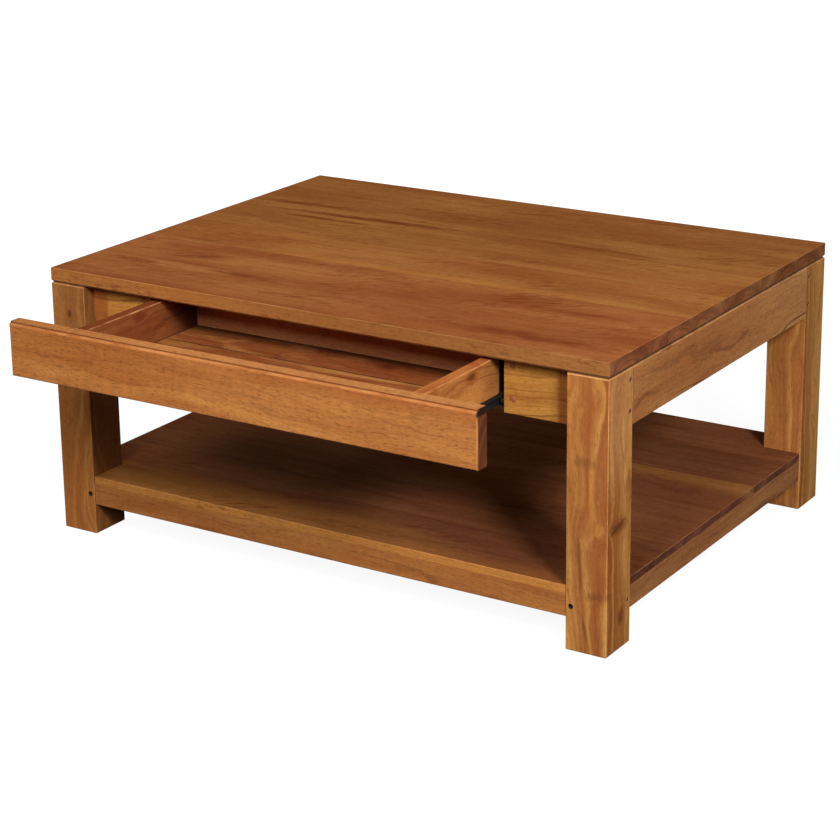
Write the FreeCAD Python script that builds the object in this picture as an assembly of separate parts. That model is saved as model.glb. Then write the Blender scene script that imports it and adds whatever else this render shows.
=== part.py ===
import FreeCAD, Part
import math
import os

# Hardwood coffee table: glued-up top, four legs, aprons, a drawer on roller slides, a lower shelf.
# Millimetres. X runs along the length, Y from the drawer front to the back, Z up.
# The origin is the middle of the legs' footprint, on the floor. The drawer stands pulled out.

Vector = FreeCAD.Vector
X_AXIS = Vector(1, 0, 0)
Y_AXIS = Vector(0, 1, 0)
Z_AXIS = Vector(0, 0, 1)
CENTRE = Vector(0, 0, 0)

# Overall size
TABLE_LENGTH = 1000.0
TABLE_DEPTH = 750.0
TABLE_HEIGHT = 440.0

# Table top
TOP_THICKNESS = 23.0
TOP_BOARDS = 6
SHADOW_BEVEL = 3.0
TOP_ARRIS = 1.0

# Legs
LEG_WIDTH = 66.0
LEG_DEPTH = 72.0
LEG_ARRIS = 1.5
FOOT_BEVEL = 1.0

# Aprons and their tenons
APRON_HEIGHT = 87.0
APRON_THICKNESS = 24.0
APRON_TENON = 40.0
TENON_THICKNESS = 10.0
TENON_SHOULDER = 6.0
GLUE_GAP = 0.1
FRAME_ARRIS = 1.0

# Pegs through the joints, shaved to flat sides
PEG_SIDES = 8
APRON_PEG_DIAMETER = 8.0
APRON_PEG_LOW = 22.0
APRON_PEG_HIGH = 69.0
SHELF_PEG_DIAMETER = 7.0
PEG_INSET = 8.5
PEG_LENGTH = 28.0
PEG_GAP = 0.05
FRONT_PEG_SINK = 6.0

# Drawer front
FRONT_THICKNESS = 24.0
FRONT_SIDE_GAP = 24.0
FRONT_TOP_GAP = 2.0
FRONT_CLOSED_GAP = 1.0
FRONT_ARRIS = 2.0
MOULD_QUIRK = 2.5
MOULD_ROUND = 5.0

# Short rails beside the drawer opening
BLOCK_WIDTH = 115.0
BLOCK_THICKNESS = 26.0
BLOCK_TENON = 25.0
DOWEL_SIDES = 16
DOWEL_DIAMETER = 10.0
DOWEL_LENGTH = 60.0
DOWEL_LOW = 23.0
DOWEL_HIGH = 73.0

# Guide rails that carry the slides
GUIDE_THICKNESS = 28.0
GUIDE_RISE = 7.0
GUIDE_HOUSING = 8.0

# Cleats that hold the top down
CLEAT_WIDTH = 20.0
CLEAT_HEIGHT = 20.0
CLEAT_END_GAP = 40.0
SCREW_GAP = 0.05
CLEAT_SCREW_DIAMETER = 4.0
CLEAT_SCREW_HEAD = 8.0
CLEAT_SCREW_HEAD_DEPTH = 4.0
CLEAT_SCREW_BITE = 14.0

# Drawer box
DRAWER_PULL = 200.0
SIDE_THICKNESS = 19.0
SIDE_DROP = 4.0
BACK_THICKNESS = 15.0
BACK_DROP = 2.0
INSIDE_DEPTH = 275.0
BOTTOM_THICKNESS = 6.0
BOTTOM_RISE = 6.0
BOTTOM_BOARDS = 3
GROOVE_DEPTH = 6.0
FRONT_HOUSING = 8.0
BOTTOM_GAP = 0.3
BOX_ARRIS = 1.5

# Roller slides
SLIDE_SPACE = 13.0
SLIDE_RISE = 8.0
SHEET = 1.2
BEND = 0.8
CHANNEL_LENGTH = 300.0
CHANNEL_SETBACK = 1.0
CHANNEL_REACH = 10.4
RAIL_UNDER = 16.0
RAIL_REACH = 8.0
RAIL_HEADROOM = 1.0
ROLLER_DIAMETER = 14.0
ROLLER_WIDTH = 7.0
ROLLER_GAP = 0.3
ROLLER_END = 10.0
PIN_DIAMETER = 4.0
PIN_CLEARANCE = 0.05
PIN_HEAD = 7.0
PIN_HEAD_DEPTH = 1.2
PIN_END_FLOAT = 0.4
SLIDE_SCREWS = 2
SLIDE_SCREW_DIAMETER = 3.5
SLIDE_SCREW_HEAD = 6.0
SLIDE_SCREW_HEAD_DEPTH = 1.5
SLIDE_SCREW_LENGTH = 12.0
SLIDE_SCREW_END = 45.0

# Lower shelf
RAIL_FLOOR_GAP = 50.0
RAIL_HEIGHT = 36.0
RAIL_THICKNESS = 24.0
RAIL_TENON = 30.0
SHELF_THICKNESS = 12.0
SHELF_BOARDS = 6
SHELF_SETBACK = 2.0
SHELF_NOTCH_GAP = 0.5
SHELF_ARRIS = 1.0
BEARER_WIDTH = 40.0
BEARER_HEIGHT = 24.0
BEARER_TENON = 10.0

# Places worked out from the sizes
HALF_LENGTH = TABLE_LENGTH / 2
HALF_DEPTH = TABLE_DEPTH / 2
FRAME_TOP = TABLE_HEIGHT - TOP_THICKNESS
LEG_INNER_X = HALF_LENGTH - LEG_WIDTH
LEG_INNER_Y = HALF_DEPTH - LEG_DEPTH
APRON_BOTTOM = FRAME_TOP - APRON_HEIGHT
APRON_INNER_X = HALF_LENGTH - APRON_THICKNESS
APRON_INNER_Y = HALF_DEPTH - APRON_THICKNESS
BLOCK_FACE = -HALF_DEPTH + FRONT_THICKNESS + FRONT_CLOSED_GAP
BLOCK_BACK = BLOCK_FACE + BLOCK_THICKNESS
OPENING_X = LEG_INNER_X - BLOCK_WIDTH
GUIDE_X = OPENING_X + GUIDE_THICKNESS / 2
DOWEL_HEIGHTS = (APRON_BOTTOM + DOWEL_LOW, APRON_BOTTOM + DOWEL_HIGH)
APRON_PEG_HEIGHTS = (APRON_BOTTOM + APRON_PEG_LOW, APRON_BOTTOM + APRON_PEG_HIGH)
RAIL_TOP = RAIL_FLOOR_GAP + RAIL_HEIGHT
RAIL_OUTER_X = HALF_LENGTH - SHELF_SETBACK
RAIL_OUTER_Y = HALF_DEPTH - SHELF_SETBACK
RAIL_INNER_Y = RAIL_OUTER_Y - RAIL_THICKNESS
SHELF_PEG_HEIGHT = RAIL_FLOOR_GAP + RAIL_HEIGHT / 2

# Places on the drawer, where it stands pulled out
FRONT_FACE = -HALF_DEPTH - DRAWER_PULL
FRONT_BACK = FRONT_FACE + FRONT_THICKNESS
FRONT_HALF = LEG_INNER_X - FRONT_SIDE_GAP
FRONT_TOP = FRAME_TOP - FRONT_TOP_GAP
FRONT_HEIGHT = FRONT_TOP - APRON_BOTTOM
SIDE_OUTER = OPENING_X - SLIDE_SPACE
SIDE_INNER = SIDE_OUTER - SIDE_THICKNESS
SIDE_TOP = FRONT_TOP - SIDE_DROP
BACK_FACE = FRONT_BACK + INSIDE_DEPTH
BOX_END = BACK_FACE + BACK_THICKNESS
GROOVE_X = SIDE_INNER + GROOVE_DEPTH

# Heights and places on the slides
TRACK = APRON_BOTTOM + SLIDE_RISE + SHEET
SIDE_BOTTOM = TRACK
BOTTOM_LOW = SIDE_BOTTOM + BOTTOM_RISE
BOTTOM_HIGH = BOTTOM_LOW + BOTTOM_THICKNESS
ROLLER_HEIGHT = TRACK + ROLLER_GAP + ROLLER_DIAMETER / 2
RAIL_UNDERSIDE = TRACK + ROLLER_DIAMETER + 2 * ROLLER_GAP
CHANNEL_ROOF = RAIL_UNDERSIDE + SHEET + RAIL_HEADROOM
CHANNEL_FRONT = BLOCK_FACE + CHANNEL_SETBACK
CHANNEL_WEB = OPENING_X - SHEET
RAIL_WEB = SIDE_OUTER + SHEET
FRONT_ROLLER_Y = CHANNEL_FRONT + ROLLER_END
REAR_ROLLER_Y = BOX_END - ROLLER_END

SIDES = {"left": -1, "right": 1}
ENDS = {"front": -1, "back": 1}


def block(xs, ys, zs, gap=0.0):
    """Box between two values on each axis, grown by a gap on every side."""
    x0, x1 = sorted(xs)
    y0, y1 = sorted(ys)
    z0, z1 = sorted(zs)
    corner = Vector(x0 - gap, y0 - gap, z0 - gap)
    return Part.makeBox(x1 - x0 + 2 * gap, y1 - y0 + 2 * gap, z1 - z0 + 2 * gap, corner)


def rod(start, axis, length, diameter):
    """Cylinder from a start point along an axis."""
    return Part.makeCylinder(diameter / 2, length, start, axis)


def peg(start, axis, length, diameter, sides=PEG_SIDES):
    """Many-sided peg from a start point along an axis; the diameter is measured across its flats."""
    corner = Vector(diameter / 2, diameter / 2 * math.tan(math.pi / sides), 0)
    turn = FreeCAD.Rotation(Z_AXIS, 360 / sides)
    corners = [corner]
    for _ in range(sides - 1):
        corners.append(turn.multVec(corners[-1]))
    shank = prism(corners, Z_AXIS * length)
    shank.Placement = FreeCAD.Placement(start, FreeCAD.Rotation(Z_AXIS, axis))
    return shank


def prism(points, travel):
    """Solid swept from a closed outline of points along a straight travel."""
    outline = Part.makePolygon(points + points[:1])
    return Part.Face(outline).extrude(travel)


def mirrored(shape, sign):
    """The shape itself on the right side, or its mirror image on the left."""
    if sign > 0:
        return shape
    return shape.mirror(CENTRE, X_AXIS)


def edges_along(shape, axis):
    """The straight edges of a shape that run along an axis."""
    straight = [e for e in shape.Edges if e.Curve.TypeId == "Part::GeomLine"]
    return [e for e in straight if abs(e.Curve.Direction.dot(axis)) > 0.999]


def edges_at_height(shape, height):
    """The edges of a shape that lie in one level plane."""
    box_of = [(e, e.BoundBox) for e in shape.Edges]
    flat = [e for e, b in box_of if abs(b.ZMin - height) < 1e-6 and abs(b.ZMax - height) < 1e-6]
    return flat


def eased(board, axis, height, arris):
    """Chamfer the edges of a board that run along an axis at one height."""
    level = [e for e in edges_along(board, axis) if abs(e.CenterOfMass.z - height) < 1e-6]
    return board.makeChamfer(arris, level)


def bevel_x(sign, length):
    """Wedge that bevels the outer top edge of a frame piece facing left or right."""
    outer = sign * HALF_LENGTH
    inner = sign * (HALF_LENGTH - SHADOW_BEVEL)
    points = [
        Vector(outer, -length, FRAME_TOP - SHADOW_BEVEL),
        Vector(outer, -length, FRAME_TOP),
        Vector(inner, -length, FRAME_TOP),
    ]
    return prism(points, Y_AXIS * (2 * length))


def bevel_y(sign, length):
    """Wedge that bevels the outer top edge of a frame piece facing front or back."""
    outer = sign * HALF_DEPTH
    inner = sign * (HALF_DEPTH - SHADOW_BEVEL)
    points = [
        Vector(-length, outer, FRAME_TOP - SHADOW_BEVEL),
        Vector(-length, outer, FRAME_TOP),
        Vector(-length, inner, FRAME_TOP),
    ]
    return prism(points, X_AXIS * (2 * length))


def split_in_boards(slab, count, y0, y1):
    """Cut a slab into boards of equal width that lie side by side from y0 to y1."""
    box_of = slab.BoundBox
    width = (y1 - y0) / count
    boards = []
    for i in range(count):
        ys = (y0 + i * width, y0 + (i + 1) * width)
        strip = block((box_of.XMin, box_of.XMax), ys, (box_of.ZMin, box_of.ZMax))
        boards.append(slab.common(strip))
    return boards


# Table top

def cleat_screw_places():
    """Middle of each top board that a cleat reaches under, on both cleats."""
    width = TABLE_DEPTH / TOP_BOARDS
    middles = [-HALF_DEPTH + (i + 0.5) * width for i in range(TOP_BOARDS)]
    reach = LEG_INNER_Y - CLEAT_END_GAP - CLEAT_SCREW_HEAD
    x = APRON_INNER_X - CLEAT_WIDTH / 2
    return [(sign * x, y) for sign in SIDES.values() for y in middles if abs(y) < reach]


def cleat_screw(x, y, gap=0.0):
    """Screw from under a cleat up into the top, its head sunk in the cleat, grown by a gap for its hole."""
    low = FRAME_TOP - CLEAT_HEIGHT
    length = CLEAT_HEIGHT + CLEAT_SCREW_BITE + gap
    foot = Vector(x, y, low)
    head = peg(foot, Z_AXIS, CLEAT_SCREW_HEAD_DEPTH, CLEAT_SCREW_HEAD + 2 * gap)
    shank = peg(foot, Z_AXIS, length, CLEAT_SCREW_DIAMETER + 2 * gap)
    return head.fuse(shank).removeSplitter()


def make_top():
    """Boards of the top: eased above, bevelled below where they meet the frame."""
    slab = block(
        (-HALF_LENGTH, HALF_LENGTH), (-HALF_DEPTH, HALF_DEPTH), (FRAME_TOP, TABLE_HEIGHT)
    )
    slab = slab.makeChamfer(SHADOW_BEVEL, edges_at_height(slab, FRAME_TOP))
    slab = slab.makeFillet(TOP_ARRIS, edges_at_height(slab, TABLE_HEIGHT) + edges_along(slab, Z_AXIS))
    for x, y in cleat_screw_places():
        slab = slab.cut(cleat_screw(x, y, SCREW_GAP))
    boards = split_in_boards(slab, TOP_BOARDS, -HALF_DEPTH, HALF_DEPTH)
    return {f"top_board_{i + 1}": board for i, board in enumerate(boards)}


def make_cleats():
    """Battens inside the side aprons, with the screws that hold the top."""
    parts = {}
    places = cleat_screw_places()
    reach = LEG_INNER_Y - CLEAT_END_GAP
    for name, sign in SIDES.items():
        xs = (sign * (APRON_INNER_X - CLEAT_WIDTH), sign * APRON_INNER_X)
        cleat = block(xs, (-reach, reach), (FRAME_TOP - CLEAT_HEIGHT, FRAME_TOP))
        for x, y in places:
            cleat = cleat.cut(cleat_screw(x, y, SCREW_GAP))
        parts[f"top_cleat_{name}"] = cleat
    parts["cleat_screws"] = Part.makeCompound([cleat_screw(x, y) for x, y in places])
    return parts


# Tenons: each is used once on its rail and once, grown by the glue gap, for the mortise

def side_tenon(sign, end, outer, thickness, length, zs, gap=0.0):
    """Tenon on the end of a side apron or side shelf rail, running into a leg along Y."""
    middle = outer - thickness / 2
    xs = (sign * (middle - TENON_THICKNESS / 2), sign * (middle + TENON_THICKNESS / 2))
    ys = (end * LEG_INNER_Y, end * (LEG_INNER_Y + length))
    return block(xs, ys, zs, gap)


def cross_tenon(sign, middle_y, length, zs, gap=0.0):
    """Tenon on the end of a rail that runs along X into a leg."""
    xs = (sign * LEG_INNER_X, sign * (LEG_INNER_X + length))
    ys = (middle_y - TENON_THICKNESS / 2, middle_y + TENON_THICKNESS / 2)
    return block(xs, ys, zs, gap)


def tenon_height(low, high):
    """Height span of a tenon between its shoulders."""
    return (low + TENON_SHOULDER, high - TENON_SHOULDER)


APRON_TENON_Z = tenon_height(APRON_BOTTOM, FRAME_TOP)
RAIL_TENON_Z = tenon_height(RAIL_FLOOR_GAP, RAIL_TOP)
BACK_APRON_Y = HALF_DEPTH - APRON_THICKNESS / 2
BLOCK_Y = BLOCK_FACE + BLOCK_THICKNESS / 2
CROSS_RAIL_Y = RAIL_OUTER_Y - RAIL_THICKNESS / 2


def apron_pegs(gap=0.0):
    """Pegs through the apron tenons: two in each leg's side face, two in each back face."""
    diameter = APRON_PEG_DIAMETER + 2 * gap
    pegs = []
    for sign in SIDES.values():
        for z in APRON_PEG_HEIGHTS:
            for end in ENDS.values():
                start = Vector(sign * HALF_LENGTH, end * (LEG_INNER_Y + PEG_INSET), z)
                pegs.append(peg(start, X_AXIS * -sign, PEG_LENGTH + gap, diameter))
            start = Vector(sign * (LEG_INNER_X + PEG_INSET), HALF_DEPTH, z)
            pegs.append(peg(start, -Y_AXIS, PEG_LENGTH + gap, diameter))
    return pegs


def shelf_pegs():
    """Pegs through the shelf rail tenons, sunk below the leg's face at the front."""
    pegs = []
    for sign in SIDES.values():
        for end in ENDS.values():
            side = Vector(sign * HALF_LENGTH, end * (LEG_INNER_Y + PEG_INSET), SHELF_PEG_HEIGHT)
            pegs.append(peg(side, X_AXIS * -sign, PEG_LENGTH, SHELF_PEG_DIAMETER))
        x = sign * (LEG_INNER_X + PEG_INSET)
        back = Vector(x, HALF_DEPTH, SHELF_PEG_HEIGHT)
        pegs.append(peg(back, -Y_AXIS, PEG_LENGTH, SHELF_PEG_DIAMETER))
        front = Vector(x, -HALF_DEPTH + FRONT_PEG_SINK, SHELF_PEG_HEIGHT)
        pegs.append(peg(front, Y_AXIS, PEG_LENGTH - FRONT_PEG_SINK, SHELF_PEG_DIAMETER))
    return pegs


def shelf_peg_holes():
    """Holes for the shelf pegs, each running right out through the leg's face."""
    diameter = SHELF_PEG_DIAMETER + 2 * PEG_GAP
    depth = PEG_LENGTH + PEG_GAP
    holes = []
    for sign in SIDES.values():
        x = sign * (LEG_INNER_X + PEG_INSET)
        for end in ENDS.values():
            side = Vector(sign * HALF_LENGTH, end * (LEG_INNER_Y + PEG_INSET), SHELF_PEG_HEIGHT)
            holes.append(peg(side, X_AXIS * -sign, depth, diameter))
            face = Vector(x, end * HALF_DEPTH, SHELF_PEG_HEIGHT)
            holes.append(peg(face, Y_AXIS * -end, depth, diameter))
    return holes


PEG_HOLES = Part.makeCompound(apron_pegs(PEG_GAP) + shelf_peg_holes())


# Frame

def leg_blank(sign, end):
    """Rounded post, bevelled at its foot and along its outer top edges."""
    xs = (sign * LEG_INNER_X, sign * HALF_LENGTH)
    ys = (end * LEG_INNER_Y, end * HALF_DEPTH)
    post = block(xs, ys, (0, FRAME_TOP))
    post = post.makeFillet(LEG_ARRIS, edges_along(post, Z_AXIS))
    post = post.makeChamfer(FOOT_BEVEL, edges_at_height(post, 0))
    return post.cut(bevel_x(sign, TABLE_DEPTH)).cut(bevel_y(end, TABLE_LENGTH))


def make_legs():
    """Four legs, each mortised for its apron, its front block or back apron, and two shelf rails."""
    legs = {}
    for end_name, end in ENDS.items():
        cross_y = BLOCK_Y if end < 0 else BACK_APRON_Y
        cross_length = BLOCK_TENON if end < 0 else APRON_TENON
        for side_name, sign in SIDES.items():
            mortises = [
                side_tenon(sign, end, HALF_LENGTH, APRON_THICKNESS, APRON_TENON, APRON_TENON_Z, GLUE_GAP),
                cross_tenon(sign, cross_y, cross_length, APRON_TENON_Z, GLUE_GAP),
                side_tenon(sign, end, RAIL_OUTER_X, RAIL_THICKNESS, RAIL_TENON, RAIL_TENON_Z, GLUE_GAP),
                cross_tenon(sign, end * CROSS_RAIL_Y, RAIL_TENON, RAIL_TENON_Z, GLUE_GAP),
            ]
            leg = leg_blank(sign, end).cut(Part.makeCompound(mortises)).cut(PEG_HOLES)
            legs[f"leg_{end_name}_{side_name}"] = leg
    return legs


def guide_end(sign, gap=0.0):
    """End of a guide rail that is housed in the back apron."""
    xs = (sign * OPENING_X, sign * (OPENING_X + GUIDE_THICKNESS))
    ys = (APRON_INNER_Y, APRON_INNER_Y + GUIDE_HOUSING)
    return block(xs, ys, (APRON_BOTTOM + GUIDE_RISE, FRAME_TOP), gap)


def make_aprons():
    """Side and back aprons, flush with the legs, bevelled along the outer top edge and eased below."""
    parts = {}
    zs = (APRON_BOTTOM, FRAME_TOP)
    for name, sign in SIDES.items():
        apron = block((sign * APRON_INNER_X, sign * HALF_LENGTH), (-LEG_INNER_Y, LEG_INNER_Y), zs)
        apron = eased(apron, Y_AXIS, APRON_BOTTOM, FRAME_ARRIS).cut(bevel_x(sign, TABLE_DEPTH))
        for end in ENDS.values():
            tenon = side_tenon(sign, end, HALF_LENGTH, APRON_THICKNESS, APRON_TENON, APRON_TENON_Z)
            apron = apron.fuse(tenon)
        parts[f"side_apron_{name}"] = apron.removeSplitter().cut(PEG_HOLES)
    back = block((-LEG_INNER_X, LEG_INNER_X), (APRON_INNER_Y, HALF_DEPTH), zs)
    back = eased(back, X_AXIS, APRON_BOTTOM, FRAME_ARRIS).cut(bevel_y(1, TABLE_LENGTH))
    for sign in SIDES.values():
        back = back.fuse(cross_tenon(sign, BACK_APRON_Y, APRON_TENON, APRON_TENON_Z))
        back = back.cut(guide_end(sign, GLUE_GAP))
    parts["back_apron"] = back.removeSplitter().cut(PEG_HOLES)
    return parts


def dowel(sign, z, gap=0.0):
    """Dowel through a front block into the end of its guide rail, grown by a gap for its hole."""
    start = Vector(sign * GUIDE_X, BLOCK_FACE, z)
    return peg(start, Y_AXIS, DOWEL_LENGTH + gap, DOWEL_DIAMETER + 2 * gap, DOWEL_SIDES)


def make_front_blocks():
    """Short front rails, guide rails behind them, and the dowels that join the two."""
    parts = {}
    for name, sign in SIDES.items():
        rail = block(
            (sign * OPENING_X, sign * LEG_INNER_X), (BLOCK_FACE, BLOCK_BACK), (APRON_BOTTOM, FRAME_TOP)
        )
        rail = eased(rail, X_AXIS, APRON_BOTTOM, FRAME_ARRIS)
        rail = rail.fuse(cross_tenon(sign, BLOCK_Y, BLOCK_TENON, APRON_TENON_Z)).removeSplitter()
        guide = block(
            (sign * OPENING_X, sign * (OPENING_X + GUIDE_THICKNESS)),
            (BLOCK_BACK, APRON_INNER_Y + GUIDE_HOUSING),
            (APRON_BOTTOM + GUIDE_RISE, FRAME_TOP),
        )
        holes = [dowel(sign, z, PEG_GAP) for z in DOWEL_HEIGHTS] + channel_screws(sign, SCREW_GAP)
        parts[f"front_block_{name}"] = rail.cut(Part.makeCompound(holes))
        parts[f"guide_rail_{name}"] = guide.cut(Part.makeCompound(holes))
    dowels = [dowel(sign, z) for sign in SIDES.values() for z in DOWEL_HEIGHTS]
    parts["block_dowels"] = Part.makeCompound(dowels)
    return parts


# Roller slides, drawn for the right side and mirrored for the left

def channel_section():
    """C-shaped outline of the fixed channel, seen from the front."""
    inner = OPENING_X - CHANNEL_REACH
    floor = TRACK - SHEET
    roof = CHANNEL_ROOF + SHEET
    return [
        (inner, floor),
        (OPENING_X, floor),
        (OPENING_X, roof),
        (inner, roof),
        (inner, CHANNEL_ROOF),
        (CHANNEL_WEB, CHANNEL_ROOF),
        (CHANNEL_WEB, TRACK),
        (inner, TRACK),
    ]


def rail_section():
    """Z-shaped outline of the drawer's rail: under the side, up it, and out over the roller."""
    return [
        (SIDE_OUTER - RAIL_UNDER, SIDE_BOTTOM - SHEET),
        (RAIL_WEB, SIDE_BOTTOM - SHEET),
        (RAIL_WEB, RAIL_UNDERSIDE),
        (RAIL_WEB + RAIL_REACH, RAIL_UNDERSIDE),
        (RAIL_WEB + RAIL_REACH, RAIL_UNDERSIDE + SHEET),
        (SIDE_OUTER, RAIL_UNDERSIDE + SHEET),
        (SIDE_OUTER, SIDE_BOTTOM),
        (SIDE_OUTER - RAIL_UNDER, SIDE_BOTTOM),
    ]


def folded_sheet(section, corners, y0, y1):
    """Folded strip of a section from y0 to y1, rounded where the sheet is bent outwards."""
    points = [Vector(x, y0, z) for x, z in section]
    strip = prism(points, Y_AXIS * (y1 - y0))
    bends = []
    for edge in edges_along(strip, Y_AXIS):
        x, z = edge.Vertexes[0].X, edge.Vertexes[0].Z
        if any(abs(x - cx) < 1e-6 and abs(z - cz) < 1e-6 for cx, cz in corners):
            bends.append(edge)
    return strip.makeFillet(BEND, bends)


def screw_stations(y0, y1):
    """Places of the slide screws, evenly spaced between the ends of a strip."""
    first = y0 + SLIDE_SCREW_END
    step = (y1 - y0 - 2 * SLIDE_SCREW_END) / (SLIDE_SCREWS - 1)
    return [first + i * step for i in range(SLIDE_SCREWS)]


def slide_screw(x, y, direction, gap):
    """Flat-headed screw through a strip whose near face is at x, grown by a gap for its hole."""
    seat = Vector(x, y, ROLLER_HEIGHT)
    shank = peg(seat, X_AXIS * direction, SLIDE_SCREW_LENGTH + gap, SLIDE_SCREW_DIAMETER + 2 * gap)
    if gap:
        return shank
    head = peg(seat, X_AXIS * -direction, SLIDE_SCREW_HEAD_DEPTH, SLIDE_SCREW_HEAD)
    return head.fuse(shank).removeSplitter()


def channel_screws(sign, gap=0.0):
    """Screws that hold a channel to its guide rail and front block."""
    stations = screw_stations(CHANNEL_FRONT, CHANNEL_FRONT + CHANNEL_LENGTH)
    return [mirrored(slide_screw(CHANNEL_WEB, y, 1, gap), sign) for y in stations]


def rail_screws(sign, gap=0.0):
    """Screws that hold a rail to its drawer side."""
    stations = screw_stations(FRONT_BACK, BOX_END)
    return [mirrored(slide_screw(RAIL_WEB, y, -1, gap), sign) for y in stations]


def roller(y, web, direction):
    """Plain wheel beside the sheet it hangs on, bored along X for its pin."""
    near = Vector(web + direction * PIN_END_FLOAT, y, ROLLER_HEIGHT)
    wheel = rod(near, X_AXIS * direction, ROLLER_WIDTH, ROLLER_DIAMETER)
    return wheel.cut(rod(near, X_AXIS * direction, ROLLER_WIDTH, PIN_DIAMETER + 2 * PIN_CLEARANCE))


def roller_pin(y, web, direction):
    """Riveted pin from the sheet through the wheel, with a head that keeps the wheel on."""
    foot = Vector(web, y, ROLLER_HEIGHT)
    length = ROLLER_WIDTH + 2 * PIN_END_FLOAT
    shank = rod(foot, X_AXIS * direction, length, PIN_DIAMETER)
    crown = foot + X_AXIS * (direction * length)
    head = peg(crown, X_AXIS * direction, PIN_HEAD_DEPTH, PIN_HEAD)
    return shank.fuse(head).removeSplitter()


def make_slides():
    """Fixed channels with their front rollers, drawer rails with their rear rollers, and screws."""
    parts = {}
    corners = [(OPENING_X, TRACK - SHEET), (OPENING_X, CHANNEL_ROOF + SHEET)]
    channel = folded_sheet(channel_section(), corners, CHANNEL_FRONT, CHANNEL_FRONT + CHANNEL_LENGTH)
    channel = channel.cut(Part.makeCompound(channel_screws(1, SCREW_GAP)))
    corners = [(RAIL_WEB, SIDE_BOTTOM - SHEET), (SIDE_OUTER, RAIL_UNDERSIDE + SHEET)]
    rail = folded_sheet(rail_section(), corners, FRONT_BACK, BOX_END)
    rail = rail.cut(Part.makeCompound(rail_screws(1, SCREW_GAP)))
    front_roller = roller(FRONT_ROLLER_Y, CHANNEL_WEB, -1)
    front_pin = roller_pin(FRONT_ROLLER_Y, CHANNEL_WEB, -1)
    rear_roller = roller(REAR_ROLLER_Y, RAIL_WEB, 1)
    rear_pin = roller_pin(REAR_ROLLER_Y, RAIL_WEB, 1)
    for name, sign in SIDES.items():
        parts[f"slide_channel_{name}"] = mirrored(channel, sign)
        parts[f"slide_rail_{name}"] = mirrored(rail, sign)
        parts[f"front_roller_{name}"] = mirrored(front_roller, sign)
        parts[f"front_roller_pin_{name}"] = mirrored(front_pin, sign)
        parts[f"rear_roller_{name}"] = mirrored(rear_roller, sign)
        parts[f"rear_roller_pin_{name}"] = mirrored(rear_pin, sign)
    parts["channel_screws"] = Part.makeCompound(channel_screws(-1) + channel_screws(1))
    parts["rail_screws"] = Part.makeCompound(rail_screws(-1) + rail_screws(1))
    return parts


# Drawer

def front_section():
    """Outline of the drawer front from its end: eased foot, flat face, quarter round, quirk, flat top."""
    low = APRON_BOTTOM
    shoulder = FRONT_TOP - MOULD_QUIRK
    quirk = FRONT_FACE + MOULD_ROUND
    slope = 0.5 ** 0.5

    def at(y, z):
        return Vector(-FRONT_HALF, y, z)

    foot_centre = (FRONT_FACE + FRONT_ARRIS, low + FRONT_ARRIS)
    round_centre = (quirk, shoulder - MOULD_ROUND)
    foot_mid = at(foot_centre[0] - FRONT_ARRIS * slope, foot_centre[1] - FRONT_ARRIS * slope)
    round_mid = at(round_centre[0] - MOULD_ROUND * slope, round_centre[1] + MOULD_ROUND * slope)
    foot = Part.Arc(at(foot_centre[0], low), foot_mid, at(FRONT_FACE, foot_centre[1]))
    face = Part.LineSegment(at(FRONT_FACE, foot_centre[1]), at(FRONT_FACE, round_centre[1]))
    thumb = Part.Arc(at(FRONT_FACE, round_centre[1]), round_mid, at(quirk, shoulder))
    step = Part.LineSegment(at(quirk, shoulder), at(quirk, FRONT_TOP))
    top = Part.LineSegment(at(quirk, FRONT_TOP), at(FRONT_BACK, FRONT_TOP))
    back = Part.LineSegment(at(FRONT_BACK, FRONT_TOP), at(FRONT_BACK, low))
    base = Part.LineSegment(at(FRONT_BACK, low), at(foot_centre[0], low))
    return Part.Wire([curve.toShape() for curve in (foot, face, thumb, step, top, back, base)])


def front_plan():
    """Outline of the drawer front from above, its two front corners eased, as high as the front."""
    right = [
        (FRONT_HALF - FRONT_ARRIS, FRONT_FACE),
        (FRONT_HALF, FRONT_FACE + FRONT_ARRIS),
        (FRONT_HALF, FRONT_BACK),
    ]
    left = [(-x, y) for x, y in reversed(right)]
    points = [Vector(x, y, APRON_BOTTOM) for x, y in right + left]
    return prism(points, Z_AXIS * FRONT_HEIGHT)


def side_board(sign):
    """Plain drawer side, eased along its top, from its housing in the front to the end of the box."""
    xs = (sign * SIDE_INNER, sign * SIDE_OUTER)
    board = block(xs, (FRONT_BACK - FRONT_HOUSING, BOX_END), (SIDE_BOTTOM, SIDE_TOP))
    return eased(board, Y_AXIS, SIDE_TOP, BOX_ARRIS)


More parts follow.
